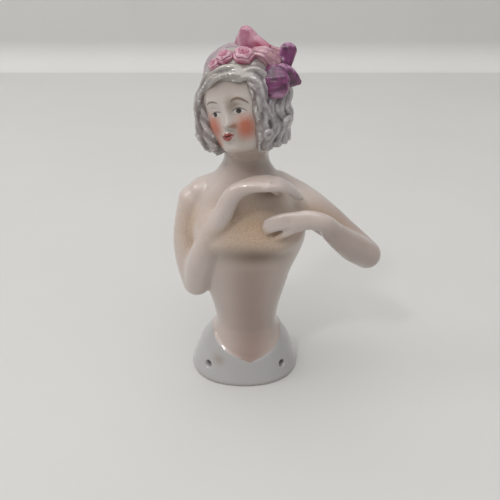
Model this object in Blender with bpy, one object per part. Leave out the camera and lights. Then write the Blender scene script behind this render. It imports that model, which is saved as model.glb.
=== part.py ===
"""Porcelain half doll, to be sewn onto a pincushion, a powder puff or a tea cosy.

One slip-cast, fired, glazed and painted piece: a hollow trunk that flares to a foot with four
sewing holes, two slender arms whose hands meet in front of the chest, and a turned head with a
waved bob, a spray of roses and a ribbon bow. +X is the doll's left, -Y its front and +Z up. The
origin is under the middle of the whole figure, on the surface that the foot rests on.
"""

import bpy
import bmesh
import numpy as np
from mathutils import Vector

MM = 0.001

# Trunk: heights are stacked from the foot upwards
FOOT_HALF_WIDTH = 16.0 * MM
FOOT_HALF_DEPTH = 13.6 * MM
HIP_HEIGHT = 8.0 * MM
HIP_HALF_WIDTH = 13.2 * MM
HIP_HALF_DEPTH = 11.1 * MM
WAIST_ABOVE_HIP = 8.0 * MM
WAIST_HALF_WIDTH = 9.1 * MM
WAIST_HALF_DEPTH = 7.7 * MM
RIBS_ABOVE_WAIST = 16.0 * MM
RIBS_HALF_WIDTH = 12.4 * MM
RIBS_HALF_DEPTH = 8.6 * MM
CHEST_ABOVE_RIBS = 14.5 * MM
CHEST_HALF_WIDTH = 16.1 * MM
CHEST_HALF_DEPTH = 9.6 * MM
SHOULDERS_ABOVE_CHEST = 10.0 * MM
SHOULDER_HALF_WIDTH = 13.0 * MM
SHOULDER_HALF_DEPTH = 7.6 * MM
NECK_ABOVE_SHOULDERS = 11.0 * MM
NECK_HALF_WIDTH = 5.9 * MM
NECK_HALF_DEPTH = 5.7 * MM
HEAD_ABOVE_NECK = 14.5 * MM
TRUNK_SQUARENESS = 2.25
BUST_SWELL = 2.9 * MM
BUST_SPREAD_BELOW = 3.1 * MM
BUST_SPREAD_ABOVE = 6.5 * MM
BUST_AZIMUTH = 33.0
BUST_LOBE_SPREAD = 29.0
YOKE_RADIUS = 4.7 * MM

# The glazed skirt band below the pointed waist line
BAND_STEP = 0.5 * MM
BAND_POINT_HEIGHT = 7.3 * MM
BAND_SIDE_HEIGHT = 13.2 * MM
BAND_RISE_AZIMUTH = 72.0
BAND_TURN = 8.0

# Casting and sewing
WALL = 2.6 * MM
SEWING_HOLE_DIAMETER = 2.2 * MM
SEWING_HOLE_HEIGHT = 4.7 * MM
SEWING_HOLE_AZIMUTHS = (48.0, 132.0, -132.0, -46.0)

# Head, in its own frame: x to its left, -y through the nose, z through the crown
HEAD_YAW = 24.0
HEAD_TILT = 9.5
HAIR_TILT = 3.0
HEAD_SIDE = 0.5 * MM
HEAD_FORWARD = 1.0 * MM
FACE_HALF_WIDTH = 9.3 * MM
JAW_HALF_WIDTH = 8.2 * MM
CHIN_HALF_WIDTH = 6.0 * MM
FACE_DEPTH = 10.3 * MM
SKULL_BACK = 9.0 * MM
CROWN_HEIGHT = 11.5 * MM
CHIN_DROP = 11.6 * MM
UNDER_JAW_DROP = 5.5 * MM
NOSE_DROP = 2.7 * MM
NOSE_LENGTH = 1.9 * MM
MOUTH_DROP = 5.5 * MM
MOUTH_SIDE = -1.0 * MM
BROW_HEIGHT = 2.8 * MM
EYE_SPACING = 6.2 * MM
EYE_HOLLOW = 0.9 * MM

# Hair: a waved bob that curls in at the nape
HAIR_TOP = 14.0 * MM
HAIR_HALF_WIDTH = 12.2 * MM
HAIR_FRONT = 12.2 * MM
HAIR_BACK = 11.8 * MM
BOB_DROP = 14.0 * MM
HAIR_SHIFT = 0.4 * MM
HAIR_ROOT = 5.5 * MM
TEMPLE_PRESS = 1.1 * MM
WAVE_DEPTH = 0.4 * MM
WAVE_LENGTH = 5.4 * MM
ROLL_DEPTH = 0.9 * MM
ROLL_ABOVE_HAIRLINE = 9.0
BOB_PULL_IN = 0.45 * MM
OPENING_TURN = 6.0
OPENING_LEFT = 38.0
OPENING_RIGHT = 44.0
HAIRLINE_ELEVATION = 38.0
NAPE_ELEVATION = -54.0
NAPE_SHARE = 0.58

# Arms
SHOULDER_RADIUS = 4.7 * MM
SHOULDER_BACK = 1.6 * MM
RIGHT_SHOULDER_OUT = 0.6 * MM
RIGHT_SHOULDER_DROP = 2.8 * MM
LEFT_SHOULDER_IN = 4.0 * MM
LEFT_SHOULDER_RISE = 1.2 * MM
UPPER_ARM_RADIUS = 4.15 * MM
ELBOW_RADIUS = 4.1 * MM
FOREARM_RADIUS = 3.4 * MM
WRIST_RADIUS = 2.0 * MM
RIGHT_UPPER_ARM_LENGTH = 23.8 * MM
RIGHT_FOREARM_LENGTH = 35.1 * MM
LEFT_UPPER_ARM_LENGTH = 32.5 * MM
LEFT_FOREARM_LENGTH = 23.5 * MM
ARM_BOW = 2.3 * MM

# Hands
PALM_HALF_WIDTH = 2.9 * MM
PALM_HALF_THICKNESS = 1.4 * MM
PALM_LENGTH = 7.6 * MM
FINGER_RADIUS = 1.05 * MM
FINGERTIP_RADIUS = 0.7 * MM
RIGHT_FINGER_LENGTH = 12.6 * MM
LEFT_FINGER_LENGTH = 7.6 * MM
THUMB_LENGTH = 7.5 * MM

# Head-dress, placed on the hair by azimuth and elevation
ROSE_RADII = (2.6 * MM, 2.2 * MM, 1.6 * MM)
ROSE_PLACES = ((31, 63), (-10, 61), (-24, 51))
ROSE_RELIEF = 0.75
LOOP_PLACE = (73, 81)
LOOP_HEIGHT = 4.4 * MM
LOOP_HALF_WIDTH = 4.6 * MM
LOOP_HALF_DEPTH = 1.9 * MM
KNOT_PLACES = ((64, 68), (84, 48))
KNOT_HALF_WIDTH = 2.9 * MM
KNOT_HALF_DEPTH = 1.8 * MM
LOBE_UP_PLACE = (88, 49)
LOBE_UP_LENGTH = 4.0 * MM
LOBE_UP_RADIUS = 1.95 * MM
LOBE_OUT_PLACE = (71, 42)
LOBE_OUT_LENGTH = 7.8 * MM
LOBE_OUT_HALF_WIDTH = 2.8 * MM
LOBE_OUT_HALF_DEPTH = 1.6 * MM
LOBE_DOWN_PLACE = (68, 40)
LOBE_DOWN_LENGTH = 3.6 * MM
LOBE_DOWN_HALF_WIDTH = 3.0 * MM
LOBE_DOWN_HALF_DEPTH = 2.1 * MM
RIBBON_PLACES = ((-44, 44), (-62, 56), (-80, 74), (73, 82), (88, 64))
RIBBON_HALF_WIDTH = 2.3 * MM
RIBBON_HALF_DEPTH = 0.75 * MM
RIBBON_SINK = 0.25 * MM

# Heights that follow from the stack
WAIST_HEIGHT = HIP_HEIGHT + WAIST_ABOVE_HIP
RIBS_HEIGHT = WAIST_HEIGHT + RIBS_ABOVE_WAIST
CHEST_HEIGHT = RIBS_HEIGHT + CHEST_ABOVE_RIBS
SHOULDER_HEIGHT = CHEST_HEIGHT + SHOULDERS_ABOVE_CHEST
NECK_HEIGHT = SHOULDER_HEIGHT + NECK_ABOVE_SHOULDERS
HEAD_HEIGHT = NECK_HEIGHT + HEAD_ABOVE_NECK


def vector(*parts):
    """Point or direction as an array."""
    return np.array(parts, float)


def aim(*parts):
    """Direction of length one."""
    return vector(*parts) / np.linalg.norm(parts)


def unit(ways):
    """Rows scaled to length one."""
    return ways / np.linalg.norm(ways, axis=-1, keepdims=True)


def hermite(position, knots, values):
    """Smooth curve through the values at the knots, flat where they turn, so it never overshoots."""
    knots = np.asarray(knots, float)
    values = np.asarray(values, float)
    step = np.diff(knots)
    slope = np.diff(values) / step
    same_way = slope[:-1] * slope[1:] > 0
    total = np.where(same_way, slope[:-1] + slope[1:], 1)
    mean = np.where(same_way, 2 * slope[:-1] * slope[1:] / total, 0)
    tangent = np.concatenate(([slope[0]], mean, [slope[-1]]))
    position = np.clip(position, knots[0], knots[-1])
    left = np.clip(np.searchsorted(knots, position, side="right") - 1, 0, len(step) - 1)
    t = (position - knots[left]) / step[left]
    start = (2 * t**3 - 3 * t**2 + 1) * values[left] + (t**3 - 2 * t**2 + t) * step[left] * tangent[left]
    end = (3 * t**2 - 2 * t**3) * values[left + 1] + (t**3 - t**2) * step[left] * tangent[left + 1]
    return start + end


def bump(distance, spread):
    """Bell curve, 1 at no distance."""
    return np.exp(-(distance / spread) ** 2)


def fade(value, low, high):
    """0 below low, 1 above high, smooth between."""
    t = np.clip((value - low) / (high - low), 0, 1)
    return t * t * (3 - 2 * t)


def rounded(turn, power):
    """Sine and cosine of a turn, raised so that a circle becomes a rounded square."""
    sine = np.sin(turn)
    cosine = np.cos(turn)
    return np.sign(sine) * np.abs(sine) ** power, np.sign(cosine) * np.abs(cosine) ** power


def circle(sides):
    """Azimuths of one ring, from the front (-Y) round by +X."""
    return np.arange(sides) * 2 * np.pi / sides


def degrees_from_front(azimuth):
    """Azimuth in degrees, from -180 to 180, 0 at the front."""
    return np.degrees(np.arctan2(np.sin(azimuth), np.cos(azimuth)))


def link(name, mesh):
    """Put a mesh into the scene under its name."""
    body = bpy.data.objects.new(name, mesh)
    bpy.context.collection.objects.link(body)
    return body


def closed_skin(name, rings):
    """Mesh object from a stack of point rings (count x sides x 3), each end closed by a fan."""
    count, sides, _ = rings.shape
    points = np.vstack([rings.reshape(-1, 3), rings[0].mean(axis=0), rings[-1].mean(axis=0)])
    faces = []
    for row in range(count - 1):
        for column in range(sides):
            after = (column + 1) % sides
            low = row * sides
            high = low + sides
            faces.append((low + column, low + after, high + after, high + column))
    last = (count - 1) * sides
    for column in range(sides):
        after = (column + 1) % sides
        faces.append((count * sides, after, column))
        faces.append((count * sides + 1, last + column, last + after))
    mesh = bpy.data.meshes.new(name)
    mesh.from_pydata(points.tolist(), [], faces)
    shape = bmesh.new()
    shape.from_mesh(mesh)
    bmesh.ops.recalc_face_normals(shape, faces=shape.faces)
    shape.to_mesh(mesh)
    shape.free()
    return link(name, mesh)


# Trunk

TRUNK_KNOTS = (0, HIP_HEIGHT, WAIST_HEIGHT, RIBS_HEIGHT, CHEST_HEIGHT, SHOULDER_HEIGHT, NECK_HEIGHT,
               HEAD_HEIGHT)
TRUNK_WIDTHS = (FOOT_HALF_WIDTH, HIP_HALF_WIDTH, WAIST_HALF_WIDTH, RIBS_HALF_WIDTH, CHEST_HALF_WIDTH,
                SHOULDER_HALF_WIDTH, NECK_HALF_WIDTH, NECK_HALF_WIDTH)
TRUNK_DEPTHS = (FOOT_HALF_DEPTH, HIP_HALF_DEPTH, WAIST_HALF_DEPTH, RIBS_HALF_DEPTH, CHEST_HALF_DEPTH,
                SHOULDER_HALF_DEPTH, NECK_HALF_DEPTH, NECK_HALF_DEPTH)
TRUNK_SWAY = MM * vector(0, 0.2, 0.6, 0.5, 1.2, 0.5, 0.8, 0.6)
TRUNK_LEAN = MM * vector(0, 0, 0, -0.6, -1.0, 0.1, 0.8, 0.2)


def trunk_point(azimuth, height, inset=0.0):
    """A rounded-square section at each height, with the bust swelling forward; inset is the wall."""
    side, front = rounded(azimuth, 2 / TRUNK_SQUARENESS)
    half_width = hermite(height, TRUNK_KNOTS, TRUNK_WIDTHS) - inset
    half_depth = hermite(height, TRUNK_KNOTS, TRUNK_DEPTHS) - inset
    turn = degrees_from_front(azimuth)
    lobes = bump(turn - BUST_AZIMUTH, BUST_LOBE_SPREAD) + bump(turn + BUST_AZIMUTH, BUST_LOBE_SPREAD)
    spread = np.where(height < CHEST_HEIGHT, BUST_SPREAD_BELOW, BUST_SPREAD_ABOVE)
    swell = BUST_SWELL * lobes * bump(height - CHEST_HEIGHT, spread)
    x = hermite(height, TRUNK_KNOTS, TRUNK_SWAY) + side * half_width
    y = hermite(height, TRUNK_KNOTS, TRUNK_LEAN) - front * half_depth - swell
    return np.stack([x, y, height + 0 * azimuth], axis=-1)


def band_line(azimuth):
    """Height of the waist line: a V in front that climbs to the sides and runs level behind."""
    turn = degrees_from_front(azimuth - np.radians(BAND_TURN))
    climb = np.clip(np.abs(turn) / BAND_RISE_AZIMUTH, 0, 1)
    return BAND_POINT_HEIGHT + (BAND_SIDE_HEIGHT - BAND_POINT_HEIGHT) * climb


def make_trunk():
    """Skirt band rings up to the waist line, a step in, then torso rings up into the head."""
    azimuth = circle(32)
    line = band_line(azimuth)
    outward = np.stack([np.sin(azimuth), -np.cos(azimuth), 0 * azimuth], axis=-1)
    rings = []
    for share in (0.0, 0.08, 0.3, 0.5, 0.75, 1.0):
        rings.append(trunk_point(azimuth, share * line) + outward * BAND_STEP * fade(share, -0.08, 0.08))
    for share in np.concatenate(([0.01], np.linspace(0.1, 1.0, 22) ** 1.25)):
        rings.append(trunk_point(azimuth, line + share * (HEAD_HEIGHT - line)))
    return closed_skin("half_doll", np.array(rings))


def make_trunk_hollow():
    """What the drained slip leaves: the trunk's own section less the wall, from below the foot."""
    azimuth = circle(20)
    rings = [trunk_point(azimuth, 0.0, WALL) - vector(0, 0, WALL)]
    for height in np.linspace(0.0, HEAD_HEIGHT, 22):
        rings.append(trunk_point(azimuth, height, WALL))
    return closed_skin("trunk_hollow", np.array(rings))


def make_sewing_hole(number, azimuth):
    """Round cutter through the wall of the skirt band, square to it."""
    radius = SEWING_HOLE_DIAMETER / 2
    shape = bmesh.new()
    bmesh.ops.create_cone(shape, cap_ends=True, segments=14, radius1=radius, radius2=radius,
                          depth=3 * WALL)
    mesh = bpy.data.meshes.new(f"sewing_hole_{number}")
    shape.to_mesh(mesh)
    shape.free()
    cutter = link(f"sewing_hole_{number}", mesh)
    outward = Vector((np.sin(azimuth) / FOOT_HALF_WIDTH, -np.cos(azimuth) / FOOT_HALF_DEPTH, 0))
    cutter.location = Vector(trunk_point(azimuth, SEWING_HOLE_HEIGHT, WALL / 2).tolist())
    cutter.rotation_mode = "QUATERNION"
    cutter.rotation_quaternion = outward.to_track_quat("Z", "Y")
    return cutter


# Head

HEAD_CENTRE = vector(HEAD_SIDE, -HEAD_FORWARD, HEAD_HEIGHT)
HAIR_CENTRE = HEAD_CENTRE - vector(HAIR_SHIFT, 0, 0)


def tilted_axes(tilt):
    """Left, back and up of the turned head when it leans to its right by an angle in degrees."""
    yaw = np.radians(HEAD_YAW)
    lean = np.radians(tilt)
    level = vector(np.cos(yaw), -np.sin(yaw), 0)
    back = vector(np.sin(yaw), np.cos(yaw), 0)
    plumb = vector(0, 0, 1)
    left = level * np.cos(lean) + plumb * np.sin(lean)
    up = plumb * np.cos(lean) - level * np.sin(lean)
    return np.array([left, back, up])


FACE_AXES = tilted_axes(HEAD_TILT)
HAIR_AXES = tilted_axes(HAIR_TILT)


def slide_to_neck(height, low):
    """Way that a ring of the tilted head moves sideways: none at the jaw, to the neck's middle at low."""
    foot = HEAD_CENTRE + low * FACE_AXES[2]
    neck_side = hermite(foot[2], TRUNK_KNOTS, TRUNK_SWAY)
    neck_back = hermite(foot[2], TRUNK_KNOTS, TRUNK_LEAN)
    neck = vector(neck_side, neck_back, foot[2])
    return fade(-height, 0.75 * CHIN_DROP, -low) * (neck - foot)


def make_skull():
    """Level rings from inside the neck to the crown, with the features as bumps on the front.

    Above the chin they are a rounded egg. Below it they draw in to the neck and slide over to its
    middle, which makes the soft slope under the jaw.
    """
    low = -CHIN_DROP - UNDER_JAW_DROP
    knots = (low, -CHIN_DROP - 0.36 * UNDER_JAW_DROP, -CHIN_DROP, -0.86 * CHIN_DROP, -0.6 * CHIN_DROP,
             -0.15 * CHIN_DROP, BROW_HEIGHT, 0.6 * CROWN_HEIGHT, 0.87 * CROWN_HEIGHT, CROWN_HEIGHT)
    widths = (0.92 * NECK_HALF_WIDTH, 0.97 * NECK_HALF_WIDTH, CHIN_HALF_WIDTH,
              0.4 * JAW_HALF_WIDTH + 0.6 * CHIN_HALF_WIDTH, JAW_HALF_WIDTH, 0.97 * FACE_HALF_WIDTH,
              FACE_HALF_WIDTH, 0.91 * FACE_HALF_WIDTH, 0.62 * FACE_HALF_WIDTH, 0.2 * FACE_HALF_WIDTH)
    fronts = FACE_DEPTH * vector(0.5, 0.54, 0.67, 0.88, 0.96, 0.99, 1.03, 0.94, 0.66, 0.15)
    backs = SKULL_BACK * vector(0.58, 0.58, 0.55, 0.5, 0.67, 0.95, 1.0, 0.9, 0.65, 0.2)
    turn = circle(36)
    side, front = rounded(turn - 0.28 * np.sin(turn), 0.83)
    rings = []
    for height in np.linspace(low, CROWN_HEIGHT, 31):
        x = hermite(height, knots, widths) * side
        reach = np.where(front > 0, hermite(height, knots, fronts), hermite(height, knots, backs))
        ahead = fade(front, 0.2, 0.6)
        nose = hermite(height, (-NOSE_DROP - 0.9 * MM, -NOSE_DROP, 0, BROW_HEIGHT), (0, 1, 0.45, 0))
        lips = bump(height + MOUTH_DROP, 0.9 * MM) * bump(x - MOUTH_SIDE, 1.7 * MM)
        eye_way = np.abs(x) - EYE_SPACING / 2
        socket = bump(eye_way, 2.0 * MM) * bump(height, 1.5 * MM)
        ball = bump(eye_way, 1.1 * MM) * bump(height + 0.2 * MM, 0.9 * MM)
        relief = NOSE_LENGTH * nose * bump(x, 1.25 * MM) + 0.6 * MM * lips
        relief = relief - EYE_HOLLOW * (socket - 0.6 * ball)
        ring = np.stack([x, -reach * front - ahead * relief, 0 * x + height], axis=-1)
        rings.append(HEAD_CENTRE + ring @ FACE_AXES + slide_to_neck(height, low))
    return closed_skin("skull", np.array(rings))


def way_out(azimuth, elevation):
    """Direction in a head frame for an azimuth from the face and an elevation."""
    level = np.cos(elevation)
    return np.stack(np.broadcast_arrays(level * np.sin(azimuth), -level * np.cos(azimuth),
                                        np.sin(elevation)), axis=-1)


def hair_reach(azimuth, elevation):
    """Distance of the hair's mass from its centre, pressed in by the ribbon at the right temple."""
    way = way_out(azimuth, elevation)
    press = TEMPLE_PRESS * bump(np.degrees(elevation) - 35, 20) * fade(-way[..., 0], 0.2, 0.8)
    depth = np.where(np.cos(azimuth) > 0, HAIR_FRONT, HAIR_BACK)
    spread = np.hypot(way[..., 0] / HAIR_HALF_WIDTH, way[..., 1] / depth)
    lift = np.abs(way[..., 2]) / np.where(elevation > 0, HAIR_TOP, BOB_DROP)
    power = np.where(elevation > 0, 2.05, 3.8)
    return (spread**power + lift**power) ** (-1 / power) - press


def make_hair():
    """Hair mass with its waves, sunk under the skin at the face and drawn in under the nape.

    The opening for the face is an ellipse of azimuth and elevation, wider to the doll's right.
    """
    turn = circle(40)[None, :]
    rise = np.radians(np.linspace(-88, 88, 29))[:, None]
    way = way_out(turn, rise)
    face_way = way @ HAIR_AXES @ FACE_AXES.T
    azimuth = np.degrees(np.arctan2(face_way[..., 0], -face_way[..., 1]))
    elevation = np.degrees(np.arcsin(face_way[..., 2]))
    sides = 1 - fade(elevation, 30, 50)
    right = bump(degrees_from_front(turn + np.radians(85)), 45)
    phase = 2 * np.pi * (rise * HAIR_HALF_WIDTH / WAVE_LENGTH) + 1.6 * np.sin(2 * turn)
    reach = hair_reach(turn, rise) + (WAVE_DEPTH * np.sin(phase) - BOB_PULL_IN * right) * sides
    roll = bump(elevation - HAIRLINE_ELEVATION - ROLL_ABOVE_HAIRLINE, 10)
    reach = reach + ROLL_DEPTH * roll * (1 - fade(np.abs(azimuth), 50, 75))
    half = np.where(azimuth > -OPENING_TURN, OPENING_LEFT, OPENING_RIGHT)
    across = np.abs(azimuth + OPENING_TURN) / half
    above = np.clip(elevation, 0, 90) / HAIRLINE_ELEVATION
    opening = 1 - fade(np.hypot(across, above), 0.88, 1.16)
    under = 1 - fade(elevation - NAPE_ELEVATION + 12 * right, -8, 8)
    reach = reach * (1 - (1 - NAPE_SHARE) * under)
    reach = reach + opening * (HAIR_ROOT - reach)
    return closed_skin("hair", HAIR_CENTRE + reach[..., None] * way @ HAIR_AXES)


def on_hair(azimuth, elevation):
    """Point on the hair's mass, and the way out from its centre, for two angles in degrees."""
    azimuth = np.radians(azimuth)
    elevation = np.radians(elevation)
    out = way_out(azimuth, elevation) @ HAIR_AXES
    return HAIR_CENTRE + out * hair_reach(azimuth, elevation), out


def make_head_hollow():
    """Egg-shaped hollow of the head, a wall's thickness inside the face and the hair."""
    half_width = HAIR_HALF_WIDTH - 2 * WALL
    front = FACE_DEPTH - 1.2 * WALL
    back = HAIR_BACK - 1.1 * WALL
    top = HAIR_TOP - 1.3 * WALL
    bottom = CHIN_DROP - 0.6 * WALL
    turn = circle(16)
    depth = np.where(np.cos(turn) > 0, front, back)
    rings = []
    for rise in np.radians(np.linspace(-80, 80, 10)):
        way = way_out(turn, rise)
        height = top if rise > 0 else bottom
        rings.append(way * np.stack([0 * turn + half_width, depth, 0 * turn + height], axis=-1))
    return closed_skin("head_hollow", HEAD_CENTRE + np.array(rings) @ FACE_AXES)


# Limbs

def make_limb(name, stations, across, sides=10, rows=9):
    """Round-ended limb. Each station is a point, its half width along across and its half depth.

    The way across is one for the whole limb, or one for each station.
    """
    points = np.array([station[0] for station in stations], float)
    across = np.broadcast_to(across, points.shape)
    sizes = np.array([station[1:] for station in stations], float)
    length = np.concatenate(([0], np.cumsum(np.linalg.norm(np.diff(points, axis=0), axis=1))))
    along = np.linspace(0, length[-1], rows)
    path = np.stack([hermite(along, length, points[:, axis]) for axis in range(3)], axis=-1)
    wide = hermite(along, length, sizes[:, 0])
    deep = hermite(along, length, sizes[:, 1])
    across = np.stack([hermite(along, length, across[:, axis]) for axis in range(3)], axis=-1)
    dome = np.radians((72, 38))
    start = path[0] + unit(path[0] - path[1]) * (deep[0] * np.sin(dome))[:, None]
    end = path[-1] + unit(path[-1] - path[-2]) * (deep[-1] * np.sin(dome[::-1]))[:, None]
    path = np.vstack([start, path, end])
    across = np.vstack([across[[0, 0]], across, across[[-1, -1]]])
    wide = np.concatenate([wide[0] * np.cos(dome), wide, wide[-1] * np.cos(dome[::-1])])
    deep = np.concatenate([deep[0] * np.cos(dome), deep, deep[-1] * np.cos(dome[::-1])])
    tangent = unit(np.gradient(path, axis=0))
    width_way = unit(across - (tangent * across).sum(axis=1, keepdims=True) * tangent)
    depth_way = np.cross(tangent, width_way)
    turn = circle(sides)[None, :, None]
    rings = (path[:, None, :] + width_way[:, None, :] * np.cos(turn) * wide[:, None, None]
             + depth_way[:, None, :] * np.sin(turn) * deep[:, None, None])
    return closed_skin(name, rings)


def bowed(start, end, bow, radii):
    """Stations from start to end along a shallow arc whose middle is pushed out by bow."""
    shares = np.linspace(0, 1, len(radii))
    return [(start + (end - start) * share + 4 * share * (1 - share) * bow, radius, radius)
            for share, radius in zip(shares, radii)]


def make_finger(name, root, tip, bow, across):
    """One tapering finger on a shallow arc."""
    radii = (FINGER_RADIUS, FINGER_RADIUS, 0.5 * (FINGER_RADIUS + FINGERTIP_RADIUS), FINGERTIP_RADIUS)
    return make_limb(name, bowed(root, tip, bow, radii), across, sides=8, rows=5)


def make_forearm(name, elbow, wrist, bow, radii, knuckles, lift, across):
    """Forearm and flattened palm as one limb from the elbow to the knuckles."""
    stations = bowed(elbow, wrist, bow, radii)
    middle = (wrist + knuckles) / 2 + lift
    stations.append((middle, 0.5 * (radii[-1] + PALM_HALF_WIDTH), 0.5 * (WRIST_RADIUS + PALM_HALF_THICKNESS)))
    stations.append((knuckles, PALM_HALF_WIDTH, PALM_HALF_THICKNESS))
    return make_limb(name, stations, across, sides=14, rows=14)


def make_right_arm():
    """Elbow down at the side, forearm raised across the chest, fingers laid on the left shoulder."""
    shoulder = vector(-SHOULDER_HALF_WIDTH - RIGHT_SHOULDER_OUT, SHOULDER_BACK,
                      SHOULDER_HEIGHT - RIGHT_SHOULDER_DROP)
    elbow = shoulder + RIGHT_UPPER_ARM_LENGTH * aim(0, -4.5, -22.7)
    wrist = elbow + RIGHT_FOREARM_LENGTH * aim(12.4, -7.9, 31.9)
    knuckles = wrist + PALM_LENGTH * aim(7.0, -0.2, 1.9)
    across = aim(0, 0.93, 0.35)
    arc = vector(0, -1.5, 1.8) * MM
    upper = bowed(shoulder, elbow, ARM_BOW * aim(-1, 0.2, 0),
                  (SHOULDER_RADIUS, UPPER_ARM_RADIUS, UPPER_ARM_RADIUS, ELBOW_RADIUS, ELBOW_RADIUS))
    radii = (ELBOW_RADIUS, ELBOW_RADIUS, FOREARM_RADIUS, 0.8 * FOREARM_RADIUS, 1.1 * WRIST_RADIUS)
    forms = [make_limb("right_upper_arm", upper, vector(0, 1, 0), sides=14),
             make_forearm("right_forearm", elbow, wrist, ARM_BOW * aim(-1, -0.6, 0), radii,
                          knuckles, 0.6 * MM * aim(0, 0, 1), across)]
    for number, (root, spread, share) in enumerate(((-1.75, -0.9, 0.88), (-0.65, -0.3, 1.0),
                                                    (0.5, 0.3, 1.02), (1.6, 0.9, 0.92))):
        start = knuckles + across * root * MM
        tip = start + across * (spread - root) * MM + RIGHT_FINGER_LENGTH * share * aim(9.4, 5.9, -6.6)
        forms.append(make_finger(f"right_finger_{number + 1}", start, tip, arc * share, across))
    thumb_root = (wrist + knuckles) / 2 + across * 1.2 * MM
    thumb_tip = thumb_root + THUMB_LENGTH * aim(7.0, 1.6, -3.6)
    forms.append(make_finger("right_thumb", thumb_root, thumb_tip, 0.4 * arc, across))
    return forms


def make_left_arm():
    """Upper arm held out to the side, forearm folded back, the hand flat on the breast."""
    shoulder = vector(SHOULDER_HALF_WIDTH - LEFT_SHOULDER_IN, SHOULDER_BACK,
                      SHOULDER_HEIGHT + LEFT_SHOULDER_RISE)
    elbow = shoulder + LEFT_UPPER_ARM_LENGTH * aim(26.0, -3.3, -19.3)
    wrist = elbow + LEFT_FOREARM_LENGTH * aim(-14.6, -10.5, 15.2)
    knuckles = wrist + PALM_LENGTH * aim(-7.8, -0.8, 0.4)
    across = aim(-0.2, 0.1, 1.0)
    arc = vector(0, -0.5, 0.6) * MM
    upper = bowed(shoulder, elbow, 0.45 * ARM_BOW * aim(1, 0, 1),
                  (SHOULDER_RADIUS, 1.22 * UPPER_ARM_RADIUS, 1.12 * UPPER_ARM_RADIUS, ELBOW_RADIUS,
                   ELBOW_RADIUS))
    radii = (ELBOW_RADIUS, ELBOW_RADIUS, 1.08 * FOREARM_RADIUS, 0.9 * FOREARM_RADIUS, 1.2 * WRIST_RADIUS)
    forms = [make_limb("left_upper_arm", upper, vector(0, 1, 0), sides=14, rows=10),
             make_forearm("left_forearm", elbow, wrist, 0.35 * ARM_BOW * aim(0, 0, -1), radii,
                          knuckles, 0.8 * MM * aim(0, -0.2, 1), across)]
    for number, (root, spread, share) in enumerate(((1.8, 1.05, 0.86), (0.7, 0.35, 1.0),
                                                    (-0.5, -0.45, 0.97))):
        start = knuckles + across * root * MM
        tip = start + across * (spread - root) * MM + LEFT_FINGER_LENGTH * share * aim(-7.1, 0.9, -2.3)
        forms.append(make_finger(f"left_finger_{number + 1}", start, tip, arc, across))
    little_root = knuckles - across * 1.7 * MM
    little_tip = little_root + LEFT_FINGER_LENGTH * 0.86 * aim(-5.4, 1.0, -3.9)
    forms.append(make_finger("left_little_finger", little_root, little_tip, 0 * arc, across))
    return forms


def make_yoke():
    """The slope of the shoulders on both sides of the neck."""
    left = vector(SHOULDER_HALF_WIDTH - 2.0 * MM, SHOULDER_BACK, SHOULDER_HEIGHT - 0.2 * MM)
    right = vector(-SHOULDER_HALF_WIDTH + 2.0 * MM, SHOULDER_BACK, SHOULDER_HEIGHT - 0.6 * MM)
    neck = vector(0.8 * MM, SHOULDER_BACK, SHOULDER_HEIGHT + 4.0 * MM)
    stations = [(point, YOKE_RADIUS, YOKE_RADIUS)
                for point in (right, (right + neck) / 2, neck, (left + neck) / 2, left)]
    return make_limb("shoulder_yoke", stations, vector(0, 1, 0), sides=12, rows=9)


# Head-dress

def make_rose(number, place, radius):
    """A spiral rose: rings of petals around a dimpled heart, facing out of the hair."""
    base, out = on_hair(*place)
    first = unit(np.cross(out, HAIR_AXES[2]))
    second = np.cross(out, first)
    turn = circle(15)
    rings = []
    for step, (share, height) in enumerate(((0.7, -0.8), (1.0, -0.1), (0.97, 0.45), (0.8, 0.75),
                                            (0.62, 0.5), (0.5, 0.95), (0.3, 0.95), (0.16, 0.6))):
        petals = radius * share * (1 + 0.07 * np.cos(5 * turn + step))
        rings.append(base + out * height * radius * ROSE_RELIEF + petals[:, None] * (
            np.cos(turn)[:, None] * first + np.sin(turn)[:, None] * second))
    return closed_skin(f"rose_{number}", np.array(rings))


def make_loop():
    """The folded loop: a tongue with a broad foot that narrows to a tip and leans to the right."""
    foot, out = on_hair(*LOOP_PLACE)
    stations = []
    for rise, lean, wide, deep in ((-0.2, 0.0, 1.0, 1.0), (0.12, 0.0, 0.93, 1.0), (0.4, 0.06, 0.72, 0.9),
                                   (0.76, 0.15, 0.4, 0.6)):
        place = foot + out * rise * LOOP_HEIGHT - HAIR_AXES[0] * lean * LOOP_HALF_WIDTH
        stations.append((place, wide * LOOP_HALF_WIDTH, deep * LOOP_HALF_DEPTH))
    return make_limb("ribbon_loop", stations, HAIR_AXES[0], sides=12, rows=7)


def make_knot():
    """The gathered middle of the bow, which fills the gap between the loop and the lobes."""
    start, _ = on_hair(*KNOT_PLACES[0])
    end, out = on_hair(*KNOT_PLACES[1])
    middle = (start + end) / 2 + out * 0.4 * KNOT_HALF_DEPTH
    stations = [(start, 0.76 * KNOT_HALF_WIDTH, 0.72 * KNOT_HALF_DEPTH),
                (middle, KNOT_HALF_WIDTH, KNOT_HALF_DEPTH),
                (end, 0.93 * KNOT_HALF_WIDTH, 0.94 * KNOT_HALF_DEPTH)]
    return make_limb("bow_knot", stations, HAIR_AXES[1], sides=12, rows=6)


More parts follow.
